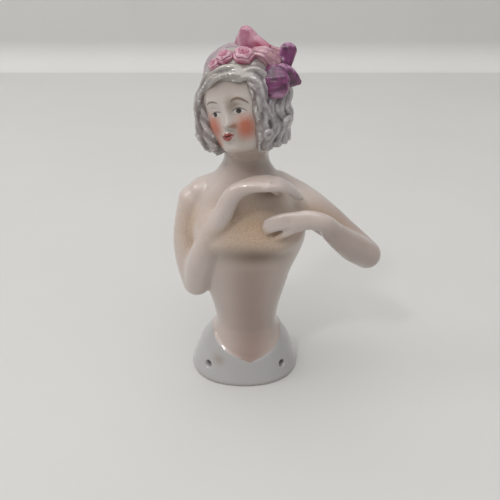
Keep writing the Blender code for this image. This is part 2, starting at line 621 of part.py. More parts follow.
def make_lobes():
    """The bow's three lobes: a round one up, a tapering flap out to the side, a broad one down."""
    level = vector(1, 0, 0)
    up = aim(2.9, 1.7, 2.5)
    root = on_hair(*LOBE_UP_PLACE)[0] + MM * vector(0.8, 0, 0.2)
    lobe_up = [(root, 0.82 * LOBE_UP_RADIUS, 0.77 * LOBE_UP_RADIUS),
               (root + up * 0.4 * LOBE_UP_LENGTH, 0.9 * LOBE_UP_RADIUS, 0.82 * LOBE_UP_RADIUS),
               (root + up * LOBE_UP_LENGTH, LOBE_UP_RADIUS, 0.92 * LOBE_UP_RADIUS)]
    out = aim(6.1, 2.7, -3.2)
    root = on_hair(*LOBE_OUT_PLACE)[0]
    lobe_out = [(root + out * LOBE_OUT_LENGTH * along, LOBE_OUT_HALF_WIDTH * wide, LOBE_OUT_HALF_DEPTH * deep)
                for along, wide, deep in ((0.0, 0.68, 1.0), (0.38, 1.0, 1.0), (0.64, 0.86, 0.81),
                                          (1.0, 0.27, 0.38))]
    down = aim(0.9, -1.7, -3.2)
    root = on_hair(*LOBE_DOWN_PLACE)[0] + MM * vector(1.0, 0, -0.4)
    lobe_down = [(root + down * LOBE_DOWN_LENGTH * along, LOBE_DOWN_HALF_WIDTH * wide,
                  LOBE_DOWN_HALF_DEPTH * deep)
                 for along, wide, deep in ((0.0, 0.8, 0.86), (0.47, 1.0, 1.0), (1.0, 0.87, 0.9))]
    return [make_limb("bow_lobe_up", lobe_up, level, sides=10, rows=6),
            make_limb("bow_lobe_out", lobe_out, aim(0.45, -0.2, 1.0), sides=12, rows=7),
            make_limb("bow_lobe_down", lobe_down, level, sides=12, rows=6)]


def make_ribbon():
    """The flat band that runs from the roses round the crown to the bow, hugging the hair."""
    places = [on_hair(*place) for place in RIBBON_PLACES]
    outs = np.array([out for _, out in places])
    points = np.array([point for point, _ in places]) - RIBBON_SINK * outs
    across = np.cross(outs, unit(np.gradient(points, axis=0)))
    stations = [(point, RIBBON_HALF_WIDTH, RIBBON_HALF_DEPTH) for point in points]
    return make_limb("ribbon", stations, across, sides=10, rows=12)


def make_head_dress():
    """Roses across the front of the crown on a ribbon, a folded loop above them and a bow."""
    forms = [make_loop(), make_knot(), make_ribbon()] + make_lobes()
    for number, (place, radius) in enumerate(zip(ROSE_PLACES, ROSE_RADII)):
        forms.append(make_rose(number + 1, place, radius))
    return forms


def porcelain():
    """Cream-white glazed porcelain."""
    material = bpy.data.materials.new("glazed_porcelain")
    material.use_nodes = True
    shader = material.node_tree.nodes["Principled BSDF"]
    shader.inputs["Base Color"].default_value = (0.78, 0.72, 0.68, 1)
    shader.inputs["Roughness"].default_value = 0.15
    return material


def gather(name, bodies):
    """Put guides into one collection, seen only by the Boolean modifiers."""
    group = bpy.data.collections.new(name)
    bpy.context.scene.collection.children.link(group)
    for body in bodies:
        bpy.context.collection.objects.unlink(body)
        group.objects.link(body)
        body.hide_render = True
        body.display_type = "WIRE"
    return group


def boolean(body, name, operation, group):
    """Add a Boolean with a collection of guides.

    The forms cross at shallow angles, where the exact solver leaves pinched edges.
    """
    modifier = body.modifiers.new(name, "BOOLEAN")
    modifier.operation = operation
    modifier.solver = "MANIFOLD"
    modifier.operand_type = "COLLECTION"
    modifier.collection = group


def build():
    """Model the doll and stand its bounding box on the origin."""
    for old in list(bpy.data.objects):
        bpy.data.objects.remove(old)
    doll = make_trunk()
    forms = [make_skull(), make_hair(), make_yoke()] + make_right_arm() + make_left_arm() + make_head_dress()
    hollows = [make_trunk_hollow()]
    head_hollows = [make_head_hollow()]
    holes = [make_sewing_hole(number + 1, np.radians(azimuth))
             for number, azimuth in enumerate(SEWING_HOLE_AZIMUTHS)]
    boolean(doll, "modelled_forms", "UNION", gather("forms", forms))
    boolean(doll, "trunk_hollow", "DIFFERENCE", gather("trunk_hollows", hollows))
    boolean(doll, "head_hollow", "DIFFERENCE", gather("head_hollows", head_hollows))
    boolean(doll, "sewing_holes", "DIFFERENCE", gather("holes", holes))
    doll.data.materials.append(porcelain())
    doll.data.shade_smooth()
    stand = bpy.data.objects.new("stand", None)
    bpy.context.collection.objects.link(stand)
    for body in [doll] + forms + hollows + head_hollows + holes:
        body.parent = stand
    finished = doll.evaluated_get(bpy.context.evaluated_depsgraph_get()).to_mesh()
    points = np.array([point.co for point in finished.vertices])
    middle = (points.min(axis=0) + points.max(axis=0)) / 2
    stand.location = (-middle[0], -middle[1], 0)


build()
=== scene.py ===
"""Looks of the porcelain half doll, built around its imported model.

The figure, the face, the hair and each part of the head-dress are surfaces worked out with numpy.
Sizes are millimetres in the foot's own frame: x to the doll's left, -y to its front, z up from under
the middle of the foot. Only `put` turns them into metres and moves them into the row's frame. Angles
that place something on the hair are degrees in the hair's frame: azimuth from the face, elevation.
"""

import math

import bpy
import numpy as np
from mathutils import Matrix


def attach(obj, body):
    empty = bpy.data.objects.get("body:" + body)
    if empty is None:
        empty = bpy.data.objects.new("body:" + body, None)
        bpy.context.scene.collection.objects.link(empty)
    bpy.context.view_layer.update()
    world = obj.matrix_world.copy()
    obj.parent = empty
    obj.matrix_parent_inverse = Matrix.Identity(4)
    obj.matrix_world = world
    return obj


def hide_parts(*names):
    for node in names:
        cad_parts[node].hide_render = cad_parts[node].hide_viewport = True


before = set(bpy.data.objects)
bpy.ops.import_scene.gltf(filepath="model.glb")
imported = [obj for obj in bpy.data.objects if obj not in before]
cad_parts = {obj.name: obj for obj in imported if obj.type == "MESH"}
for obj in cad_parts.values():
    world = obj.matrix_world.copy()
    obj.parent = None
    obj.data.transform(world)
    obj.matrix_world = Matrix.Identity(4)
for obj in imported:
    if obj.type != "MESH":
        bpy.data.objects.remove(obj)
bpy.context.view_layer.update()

MM = 0.001

# Trunk
FOOT_HALF_WIDTH = 16.0
FOOT_HALF_DEPTH = 13.6
CHEST_HEIGHT = 46.5
SHOULDER_HEIGHT = 56.5
SHOULDER_HALF_WIDTH = 13.0
HEAD_HEIGHT = 82.0

# Trunk sections: height, half width, half depth, sway to the left and lean to the back
TRUNK = np.array([
    (0.0, FOOT_HALF_WIDTH, FOOT_HALF_DEPTH, 0.0, 0.0),
    (8.0, 13.2, 11.1, 0.2, 0.0),
    (16.0, 9.1, 7.7, 0.6, 0.0),
    (32.0, 12.4, 8.6, 0.5, -0.6),
    (CHEST_HEIGHT, 16.1, 9.6, 1.2, -1.0),
    (SHOULDER_HEIGHT, SHOULDER_HALF_WIDTH, 7.6, 0.5, 0.1),
    (67.5, 5.9, 5.7, 0.8, 0.8),
    (HEAD_HEIGHT, 5.9, 5.7, 0.6, 0.2)])
TRUNK_SQUARENESS = 2.25
BUST_SWELL = 2.9
BUST_SPREAD = 5.2
BUST_AZIMUTH = 33.0
YOKE_RADIUS = 4.7

# Skirt band below the pointed waist line, wall and sewing holes
BAND_STEP = 0.5
BAND_POINT_HEIGHT = 7.3
BAND_SIDE_HEIGHT = 13.2
BAND_RISE_AZIMUTH = 72.0
BAND_TURN = 8.0
WALL = 2.6
SEWING_HOLE_RADIUS = 1.1
SEWING_HOLE_HEIGHT = 4.7
SEWING_HOLE_AZIMUTHS = (48.0, 132.0, -132.0, -46.0)

# Head
HEAD_CENTRE = np.array([0.5, -1.0, HEAD_HEIGHT])
HAIR_CENTRE = np.array([0.1, -1.0, HEAD_HEIGHT])
HEAD_YAW = 24.0
FACE_TILT = 9.5
HAIR_TILT = 3.0
CHIN_DROP = 11.6
CROWN_HEIGHT = 11.5
EYES = ((-3.77, -0.5), (2.97, 0.15))

# Hair
HAIR_TOP = 14.0
HAIR_HALF_WIDTH = 12.2
HAIR_FRONT = 12.2
HAIR_BACK = 11.8
BOB_DROP = 14.0
HAIR_ROOT = 5.5
TEMPLE_PRESS = 1.1
OPENING_TURN = 6.0
OPENING_RIGHT = 38.0
OPENING_LEFT = 42.0
HAIRLINE_ELEVATION = 40.0
HAIR_WAVE_SPACING = 25.8
HAIR_LOCK_SPACING = 17.0
HAIR_STRAND_SPACING = 5.7
CURL_TURNS = 1.4

# Arms and hands
SHOULDER_RADIUS = 4.7
UPPER_ARM_RADIUS = 4.15
ELBOW_RADIUS = 4.1
FOREARM_RADIUS = 3.4
WRIST_RADIUS = 2.0
RIGHT_UPPER_ARM_LENGTH = 23.8
RIGHT_FOREARM_LENGTH = 35.1
LEFT_UPPER_ARM_LENGTH = 32.5
LEFT_FOREARM_LENGTH = 23.5
ARM_BOW = 2.3
PALM_HALF_WIDTH = 2.9
PALM_HALF_THICKNESS = 1.4
PALM_LENGTH = 7.6
FINGER_RADIUS = 1.05
FINGERTIP_RADIUS = 0.7
RIGHT_FINGER_LENGTH = 12.6
LEFT_FINGER_LENGTH = 7.6
THUMB_LENGTH = 7.5

# Fineness of the fused skins
FIGURE_VOXEL = 0.42
HAIR_VOXEL = 0.25
CAVITY_PASSES = 24

# The photograph's view
SENSOR_WIDTH = 36
FOCAL_PIXELS = 600
FRAME_PIXELS = 500
CAMERA_PLACE = (1.74, -150.8, 122.5)
CAMERA_DIP = 29


def vector(*parts):
    """Point or direction as an array."""
    return np.array(parts, float)


def aim(*parts):
    """Direction of length one."""
    return vector(*parts) / np.linalg.norm(parts)


def unit(ways):
    """Rows scaled to length one."""
    return ways / np.linalg.norm(ways, axis=-1, keepdims=True)


def hermite(position, knots, values):
    """Smooth curve through the values at the knots, flat where they turn, so it never overshoots."""
    knots = np.asarray(knots, float)
    values = np.asarray(values, float)
    step = np.diff(knots)
    slope = np.diff(values) / step
    same_way = slope[:-1] * slope[1:] > 0
    total = np.where(same_way, slope[:-1] + slope[1:], 1)
    mean = np.where(same_way, 2 * slope[:-1] * slope[1:] / total, 0)
    return cubic(position, knots, values, np.concatenate(([slope[0]], mean, [slope[-1]])))


def spline(position, knots, values):
    """Smooth curve through the values at the knots that may swing past them, for paths."""
    knots = np.asarray(knots, float)
    values = np.asarray(values, float)
    step = np.diff(knots)
    slope = np.diff(values) / step
    mean = (slope[:-1] * step[1:] + slope[1:] * step[:-1]) / (step[:-1] + step[1:])
    return cubic(position, knots, values, np.concatenate(([slope[0]], mean, [slope[-1]])))


def cubic(position, knots, values, tangent):
    """Cubic pieces between the knots, with the given slope at each knot."""
    step = np.diff(knots)
    position = np.clip(position, knots[0], knots[-1])
    left = np.clip(np.searchsorted(knots, position, side="right") - 1, 0, len(step) - 1)
    t = (position - knots[left]) / step[left]
    start = (2 * t**3 - 3 * t**2 + 1) * values[left] + (t**3 - 2 * t**2 + t) * step[left] * tangent[left]
    end = (3 * t**2 - 2 * t**3) * values[left + 1] + (t**3 - t**2) * step[left] * tangent[left + 1]
    return start + end


def bump(distance, spread):
    """Bell curve, 1 at no distance."""
    return np.exp(-(distance / spread) ** 2)


def fade(value, low, high):
    """0 below low, 1 above high, smooth between."""
    t = np.clip((value - low) / (high - low), 0, 1)
    return t * t * (3 - 2 * t)


def rounded(turn, power):
    """Sine and cosine of a turn, raised so that a circle becomes a rounded square."""
    sine = np.sin(turn)
    cosine = np.cos(turn)
    return np.sign(sine) * np.abs(sine) ** power, np.sign(cosine) * np.abs(cosine) ** power


def circle(sides):
    """Azimuths of one ring, from the front (-y) round by +x."""
    return np.arange(sides) * 2 * np.pi / sides


def degrees_from_front(azimuth):
    """Azimuth in degrees, from -180 to 180, 0 at the front."""
    return np.degrees(np.arctan2(np.sin(azimuth), np.cos(azimuth)))


def skin(rings):
    """Points and faces of a stack of closed rings (rows x sides x 3), each end closed by a fan."""
    rows, sides, _ = rings.shape
    points = np.vstack([rings.reshape(-1, 3), rings[0].mean(axis=0), rings[-1].mean(axis=0)])
    row = np.arange(rows - 1)[:, None] * sides
    column = np.arange(sides)[None, :]
    after = (column + 1) % sides
    quads = np.stack([row + column, row + after, row + sides + after, row + sides + column], axis=-1)
    low = np.stack([0 * after[0] + rows * sides, after[0], column[0]], axis=-1)
    last = (rows - 1) * sides
    high = np.stack([0 * after[0] + rows * sides + 1, last + column[0], last + after[0]], axis=-1)
    return points, quads.reshape(-1, 4).tolist() + low.tolist() + high.tolist()


def joined(skins):
    """Several skins as one list of points and one of faces."""
    points = []
    faces = []
    count = 0
    for some_points, some_faces in skins:
        faces += [[index + count for index in face] for face in some_faces]
        points.append(some_points)
        count += len(some_points)
    return np.vstack(points), faces


def row_points(mesh):
    """A mesh's points in millimetres in the row's frame."""
    points = np.empty(len(mesh.vertices) * 3)
    mesh.vertices.foreach_get("co", points)
    return points.reshape(-1, 3) / MM


def foot_centre():
    """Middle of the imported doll's foot ring, in millimetres in the row's frame."""
    points = row_points(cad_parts["half_doll"].data)
    ring = points[points[:, 2] < 0.01]
    return (ring.min(axis=0) + ring.max(axis=0)) / 2


SHIFT = foot_centre() * vector(1, 1, 0)


def mesh_of(name, points, faces):
    """Mesh in the row's frame and in metres."""
    mesh = bpy.data.meshes.new(name)
    mesh.from_pydata(((points + SHIFT) * MM).tolist(), [], faces)
    return mesh


def put(name, points, faces, material, masks=None):
    """One finished piece: its mesh, its painted masks as attributes and its ride on the part."""
    mesh = mesh_of(name, points, faces)
    for mask, values in (masks or {}).items():
        attribute = mesh.attributes.new(mask, "FLOAT", "POINT")
        attribute.data.foreach_set("value", np.ascontiguousarray(values, dtype=np.float32))
    mesh.shade_smooth()
    mesh.materials.append(material)
    piece = bpy.data.objects.new(name, mesh)
    bpy.context.scene.collection.objects.link(piece)
    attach(piece, "root")
    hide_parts("half_doll")


def fused(name, skins, voxel, passes, hollows=None):
    """Skins fused into one by a fine remesh, cut by the hollows, remeshed again and evened out.

    The third result is how far each point lies in a hollow of the surface, in millimetres: the way from
    it to a much smoother copy of the skin, along its normal.
    """
    body = bpy.data.objects.new(name, mesh_of(name, *joined(skins)))
    bpy.context.scene.collection.objects.link(body)
    remesh = body.modifiers.new("fuse", "REMESH")
    remesh.mode = "VOXEL"
    remesh.voxel_size = voxel * MM
    helpers = [body]
    if hollows:
        group = bpy.data.collections.new(name + "_hollows")
        for number, hollow in enumerate(hollows):
            helper = bpy.data.objects.new(f"{name}_hollow_{number}", mesh_of(name, *hollow))
            group.objects.link(helper)
            helpers.append(helper)
        cut = body.modifiers.new("cut", "BOOLEAN")
        cut.operation = "DIFFERENCE"
        cut.solver = "MANIFOLD"
        cut.operand_type = "COLLECTION"
        cut.collection = group
        again = body.modifiers.new("round_edges", "REMESH")
        again.mode = "VOXEL"
        again.voxel_size = voxel * MM
    evaluated = body.evaluated_get(bpy.context.evaluated_depsgraph_get())
    mesh = bpy.data.meshes.new_from_object(evaluated)
    points = row_points(mesh) - SHIFT
    normals = np.empty(len(mesh.vertices) * 3)
    mesh.vertices.foreach_get("normal", normals)
    faces = [list(polygon.vertices) for polygon in mesh.polygons]
    edges = np.empty(len(mesh.edges) * 2, int)
    mesh.edges.foreach_get("vertices", edges)
    edges = edges.reshape(-1, 2)
    for helper in helpers:
        bpy.data.objects.remove(helper)
    points = evened(points, edges, passes)
    smoother = evened(points, edges, CAVITY_PASSES, 0)
    cavity = ((smoother - points) * normals.reshape(-1, 3)).sum(axis=1)
    return points, faces, cavity


def evened(points, edges, passes, back=-0.57):
    """Points drawn towards their neighbours, and pushed back in turn so that the form doesn't shrink."""
    count = np.bincount(edges.ravel(), minlength=len(points))[:, None]
    for _ in range(passes):
        for share in (0.55, back):
            if share:
                total = np.stack([np.bincount(edges[:, 0], points[edges[:, 1], axis], len(points))
                                  + np.bincount(edges[:, 1], points[edges[:, 0], axis], len(points))
                                  for axis in range(3)], axis=-1)
                points = points + share * (total / count - points)
    return points


# Trunk

def trunk_point(azimuth, height, inset=0.0):
    """A rounded-square section at each height, with the bust swelling forward; inset is the wall."""
    side, front = rounded(azimuth, 2 / TRUNK_SQUARENESS)
    half_width, half_depth, sway, lean = (hermite(height, TRUNK[:, 0], TRUNK[:, k]) for k in (1, 2, 3, 4))
    turn = degrees_from_front(azimuth)
    lobes = bump(turn - BUST_AZIMUTH, 29) + bump(turn + BUST_AZIMUTH, 29)
    reach = np.where(height < CHEST_HEIGHT, 0.6, 1.25)
    swell = BUST_SWELL * lobes * bump(height - CHEST_HEIGHT, BUST_SPREAD * reach)
    x = sway + side * (half_width - inset)
    y = lean - front * (half_depth - inset) - swell
    return np.stack(np.broadcast_arrays(x, y, height + 0 * azimuth), axis=-1)


def band_line(azimuth):
    """Height of the waist line: a V in front that climbs to the sides and runs level behind."""
    turn = degrees_from_front(azimuth - np.radians(BAND_TURN))
    climb = np.clip(np.abs(turn) / BAND_RISE_AZIMUTH, 0, 1)
    return BAND_POINT_HEIGHT + (BAND_SIDE_HEIGHT - BAND_POINT_HEIGHT) * climb


def trunk():
    """Skirt band rings up to the waist line, a step in, then torso rings up into the head."""
    azimuth = circle(200)
    line = band_line(azimuth)
    outward = np.stack([np.sin(azimuth), -np.cos(azimuth), 0 * azimuth], axis=-1)
    band = [trunk_point(azimuth, share * line) + outward * BAND_STEP * fade(share, -0.06, 0.06)
            for share in np.linspace(0, 1, 30)]
    torso = [trunk_point(azimuth, line + share * (HEAD_HEIGHT - line))
             for share in np.concatenate(([0.006], np.linspace(0.02, 1, 130)))]
    return skin(np.array(band + torso))


def trunk_hollow():
    """What the drained slip leaves: the trunk's own section less the wall, from below the foot."""
    azimuth = circle(72)
    rings = [trunk_point(azimuth, 0.0, WALL) - vector(0, 0, WALL)]
    rings += [trunk_point(azimuth, height, WALL) for height in np.linspace(0, HEAD_HEIGHT - 2 * WALL, 60)]
    return skin(np.array(rings))


def sewing_hole(azimuth):
    """Round cutter through the wall of the skirt band, square to it."""
    azimuth = np.radians(azimuth)
    outward = aim(np.sin(azimuth) / FOOT_HALF_WIDTH, -np.cos(azimuth) / FOOT_HALF_DEPTH, 0)
    side = np.cross(vector(0, 0, 1), outward)
    centre = trunk_point(azimuth, SEWING_HOLE_HEIGHT, WALL / 2)
    turn = circle(28)[:, None]
    ring = SEWING_HOLE_RADIUS * (np.cos(turn) * side + np.sin(turn) * vector(0, 0, 1))
    return skin(np.array([centre + outward * depth + ring for depth in (-4, 0, 4)]))


# Limbs

def limb(stations, across, sides=36, rows=56, relief=None, tip=1.0):
    """Round-ended limb: an ellipse carried along a smooth path.

    Each station is a point, its half width along `across` and its half depth. `across` is one way, or
    one for each station. `relief` gives a share of the radius for a turn and a share of the length.
    Half-round ends close it; `tip` flattens the last one.
    """
    points = np.array([station[0] for station in stations], float)
    across = np.broadcast_to(across, points.shape)
    sizes = np.array([station[1:] for station in stations], float)
    length = np.concatenate(([0], np.cumsum(np.linalg.norm(np.diff(points, axis=0), axis=1))))
    along = np.linspace(0, length[-1], rows)
    path = np.stack([spline(along, length, points[:, axis]) for axis in range(3)], axis=-1)
    wide = hermite(along, length, sizes[:, 0])
    deep = hermite(along, length, sizes[:, 1])
    across = np.stack([hermite(along, length, across[:, axis]) for axis in range(3)], axis=-1)
    dome = np.radians(np.linspace(84, 10, 8))
    start = path[0] + unit(path[0] - path[1]) * (deep[0] * np.sin(dome))[:, None]
    end = path[-1] + unit(path[-1] - path[-2]) * (tip * deep[-1] * np.sin(dome[::-1]))[:, None]
    path = np.vstack([start, path, end])
    across = np.vstack([across[[0] * len(dome)], across, across[[-1] * len(dome)]])
    wide = np.concatenate([wide[0] * np.cos(dome), wide, wide[-1] * np.cos(dome[::-1])])
    deep = np.concatenate([deep[0] * np.cos(dome), deep, deep[-1] * np.cos(dome[::-1])])
    tangent = unit(np.gradient(path, axis=0))
    width_way = unit(across - (tangent * across).sum(axis=1, keepdims=True) * tangent)
    depth_way = np.cross(tangent, width_way)
    turn = circle(sides)[None, :]
    scale = 1 + (relief(turn, np.linspace(0, 1, len(path))[:, None]) if relief else 0 * turn)
    wide = (wide[:, None] * np.cos(turn) * scale)[..., None]
    deep = (deep[:, None] * np.sin(turn) * scale)[..., None]
    return skin(path[:, None, :] + width_way[:, None, :] * wide + depth_way[:, None, :] * deep)


def bowed(start, end, bow, radii):
    """Stations from start to end along a shallow arc whose middle is pushed out by bow."""
    shares = np.linspace(0, 1, len(radii))
    return [(start + (end - start) * share + 4 * share * (1 - share) * bow, radius, radius)
            for share, radius in zip(shares, radii)]


def finger(root, tip, bow, across, end=FINGERTIP_RADIUS):
    """One tapering finger on a shallow arc."""
    radii = (FINGER_RADIUS, FINGER_RADIUS, 0.5 * (FINGER_RADIUS + end), end)
    return limb(bowed(root, tip, bow, radii), across, sides=20, rows=24)


def forearm(elbow, wrist, bow, radii, knuckles, lift, across):
    """Forearm and flattened palm as one limb from the elbow to the knuckles."""
    stations = bowed(elbow, wrist, bow, radii)
    middle = (wrist + knuckles) / 2 + lift
    half_width = 0.5 * (radii[-1] + PALM_HALF_WIDTH)
    stations.append((middle, half_width, 0.5 * (WRIST_RADIUS + PALM_HALF_THICKNESS)))
    stations.append((knuckles, PALM_HALF_WIDTH, PALM_HALF_THICKNESS))
    return limb(stations, across, rows=90)


RIGHT_SHOULDER = vector(-SHOULDER_HALF_WIDTH - 0.6, 1.5, SHOULDER_HEIGHT - 2.8)
RIGHT_ELBOW = RIGHT_SHOULDER + RIGHT_UPPER_ARM_LENGTH * aim(0, -4.5, -22.7)
RIGHT_WRIST = RIGHT_ELBOW + RIGHT_FOREARM_LENGTH * aim(12.4, -7.9, 31.9)
RIGHT_KNUCKLES = RIGHT_WRIST + PALM_LENGTH * aim(7.0, -0.2, 1.9)
LEFT_SHOULDER = vector(SHOULDER_HALF_WIDTH - 4.0, 1.8, SHOULDER_HEIGHT + 1.2)
LEFT_ELBOW = LEFT_SHOULDER + LEFT_UPPER_ARM_LENGTH * aim(26.0, -3.3, -19.3)
LEFT_WRIST = LEFT_ELBOW + LEFT_FOREARM_LENGTH * aim(-14.6, -10.5, 15.2)
LEFT_KNUCKLES = LEFT_WRIST + PALM_LENGTH * aim(-7.8, -0.8, 0.4)


def right_arm():
    """Elbow down at the side, forearm raised across the chest, fingers laid on the left shoulder."""
    across = aim(0, 0.93, 0.35)
    arc = vector(0, -1.5, 1.8)
    radii = (SHOULDER_RADIUS, UPPER_ARM_RADIUS, UPPER_ARM_RADIUS, ELBOW_RADIUS, ELBOW_RADIUS)
    upper = bowed(RIGHT_SHOULDER, RIGHT_ELBOW, ARM_BOW * aim(-1, 0.2, 0), radii)
    radii = (ELBOW_RADIUS, ELBOW_RADIUS, FOREARM_RADIUS, 0.8 * FOREARM_RADIUS, 1.1 * WRIST_RADIUS)
    forms = [limb(upper, vector(0, 1, 0)),
             forearm(RIGHT_ELBOW, RIGHT_WRIST, ARM_BOW * aim(-1, -0.6, 0), radii,
                     RIGHT_KNUCKLES, 0.6 * vector(0, 0, 1), across)]
    for root, spread, share in ((-1.75, -0.9, 0.88), (-0.65, -0.3, 1.0), (0.5, 0.3, 1.02), (1.6, 0.9, 0.92)):
        start = RIGHT_KNUCKLES + across * root
        tip = start + across * (spread - root) + RIGHT_FINGER_LENGTH * share * aim(9.4, 5.9, -6.6)
        forms.append(finger(start, tip, arc * share, across))
    thumb_root = (RIGHT_WRIST + RIGHT_KNUCKLES) / 2 + across * 1.2
    forms.append(finger(thumb_root, thumb_root + THUMB_LENGTH * aim(7.0, 1.6, -3.6), 0.4 * arc, across))
    return forms


def left_arm():
    """Upper arm held out to the side, forearm folded back, the hand flat on the breast."""
    across = aim(-0.2, 0.1, 1.0)
    arc = vector(0, -0.5, 0.6)
    radii = (SHOULDER_RADIUS, 1.22 * UPPER_ARM_RADIUS, 1.12 * UPPER_ARM_RADIUS, ELBOW_RADIUS, ELBOW_RADIUS)
    upper = bowed(LEFT_SHOULDER, LEFT_ELBOW, 0.45 * ARM_BOW * aim(1, 0, 1), radii)
    radii = (ELBOW_RADIUS, ELBOW_RADIUS, 1.08 * FOREARM_RADIUS, 0.9 * FOREARM_RADIUS, 1.2 * WRIST_RADIUS)
    forms = [limb(upper, vector(0, 1, 0)),
             forearm(LEFT_ELBOW, LEFT_WRIST, 0.35 * ARM_BOW * aim(0, 0, -1), radii,
                     LEFT_KNUCKLES, 0.8 * aim(0, -0.2, 1), across)]
    for root, spread, share in ((1.8, 1.75, 0.9), (0.7, 0.6, 1.0), (-0.5, -0.65, 0.97)):
        start = LEFT_KNUCKLES + across * root
        tip = start + across * (spread - root) + LEFT_FINGER_LENGTH * share * aim(-7.1, 0.9, -2.3)
        forms.append(finger(start, tip, arc, across, 0.95))
    little_root = LEFT_KNUCKLES - across * 1.7
    little_tip = little_root + LEFT_FINGER_LENGTH * 0.86 * aim(-5.4, 1.0, -3.9)
    forms.append(finger(little_root, little_tip, 0 * arc, across))
    return forms


def yoke():
    """The slope of the shoulders on both sides of the neck."""
    left = vector(SHOULDER_HALF_WIDTH - 2.0, 1.8, SHOULDER_HEIGHT - 0.2)
    right = vector(-SHOULDER_HALF_WIDTH + 2.0, 1.6, SHOULDER_HEIGHT - 0.6)
    neck = vector(0.8, 1.4, SHOULDER_HEIGHT + 4.0)
    stations = [(point, YOKE_RADIUS, YOKE_RADIUS)
                for point in (right, (right + neck) / 2, neck, (left + neck) / 2, left)]
    return limb(stations, vector(0, 1, 0))


# Head frames

def tilted_axes(tilt):
    """Left, back and up of the turned head when it leans to its right by an angle in degrees."""
    yaw = np.radians(HEAD_YAW)
    lean = np.radians(tilt)
    left = vector(np.cos(yaw), -np.sin(yaw), 0)
    back = vector(np.sin(yaw), np.cos(yaw), 0)
    up = vector(0, 0, 1)
    return np.array([left * np.cos(lean) + up * np.sin(lean), back, up * np.cos(lean) - left * np.sin(lean)])


FACE_AXES = tilted_axes(FACE_TILT)
HAIR_AXES = tilted_axes(HAIR_TILT)


# Face

def lips(x):
    """Along the mouth: whether between its corners, the line between the lips, and their outer edges."""
    left = vector(-2.85, -6.1)
    right = vector(0.95, -5.5)
    share = np.clip((x - left[0]) / (right[0] - left[0]), 0, 1)
    arch = np.sin(np.pi * share)
    middle = left[1] + (right[1] - left[1]) * share
    upper = middle + arch**0.8 * (0.62 + 0.5 * bump(share - 0.7, 0.14) + 0.35 * bump(share - 0.4, 0.12))
    lower = middle - 1.35 * arch**1.3
    return arch, middle, upper, lower


def face_relief(x, z):
    """Features as heights above the bare egg of the head, from bells, ridges and grooves."""
    nose_rise = hermite(z, (-3.9, -3.35, -2.7, -1.3, 0.4, 2.2), (0, 1.3, 1.9, 1.3, 0.6, 0.1))
    nose_width = hermite(z, (-3.4, -2.4, 0.8), (1.35, 1.15, 1.05))
    relief = nose_rise * bump(x - 0.15, nose_width)
    relief += 0.5 * (bump(x - 1.2, 0.55) + bump(x + 0.95, 0.55)) * bump(z + 3.05, 0.5)
    arch, middle, _, _ = lips(x)
    relief += arch * (0.45 * bump(z - middle - 0.5, 0.5) + 0.62 * bump(z - middle + 0.65, 0.6))
    relief += 0.35 * bump(z - middle, 1.6) * arch - 0.3 * bump(z - middle, 0.16) * arch
    relief -= 0.3 * bump(z + 7.6, 0.7) * bump(x + 0.6, 1.8)
    relief += 0.6 * bump(z + 9.4, 1.5) * bump(x + 0.3, 2.3)
    relief += 0.45 * (bump(x - 4.3, 2.4) + bump(x + 4.9, 2.4)) * bump(z + 3.6, 2.3)
    relief += 0.25 * bump(z - 2.9, 1.0) * (bump(x - 3.2, 2.2) + bump(x + 3.6, 2.2))
    for eye_x, eye_z in EYES:
        across = x - eye_x
        rise = z - eye_z
        relief -= 0.85 * bump(across, 1.9) * bump(rise - 0.2, 1.35)
        relief += 0.6 * bump(across, 1.25) * bump(rise, 0.85)
        lid = 0.7 - 0.75 * (across / 1.9) ** 2
        relief += 0.13 * bump(rise - lid - 0.28, 0.24) * bump(across, 1.7)
        relief -= 0.08 * bump(rise - lid - 0.78, 0.24) * bump(across, 1.7)
        relief += 0.06 * bump(rise + 0.62 - 0.3 * (across / 1.9) ** 2, 0.22) * bump(across, 1.5)
    return relief


def stroke(x, z, left, middle, right, half_width, taper=0.35):
    """Soft line along the parabola through three points, thinner towards its ends."""
    shape = np.polyfit([left[0], middle[0], right[0]], [left[1], middle[1], right[1]], 2)
    slope = np.polyval(np.polyder(shape), x)
    gap = np.abs(z - np.polyval(shape, x)) / np.sqrt(1 + slope**2)
    share = np.clip((x - left[0]) / (right[0] - left[0]), 0, 1)
    width = half_width * (taper + (1 - taper) * np.sin(np.pi * share) ** 0.7)
    inside = fade(x, left[0] - 0.15, left[0] + 0.15) * fade(-x, -right[0] - 0.15, -right[0] + 0.15)
    return (1 - fade(gap, 0.5 * width, 1.5 * width)) * inside


def spot(x, z, x0, z0, wide, high, soft):
    """Ellipse with a soft edge."""
    return 1 - fade(np.hypot((x - x0) / wide, (z - z0) / high), 1 - soft, 1 + soft)


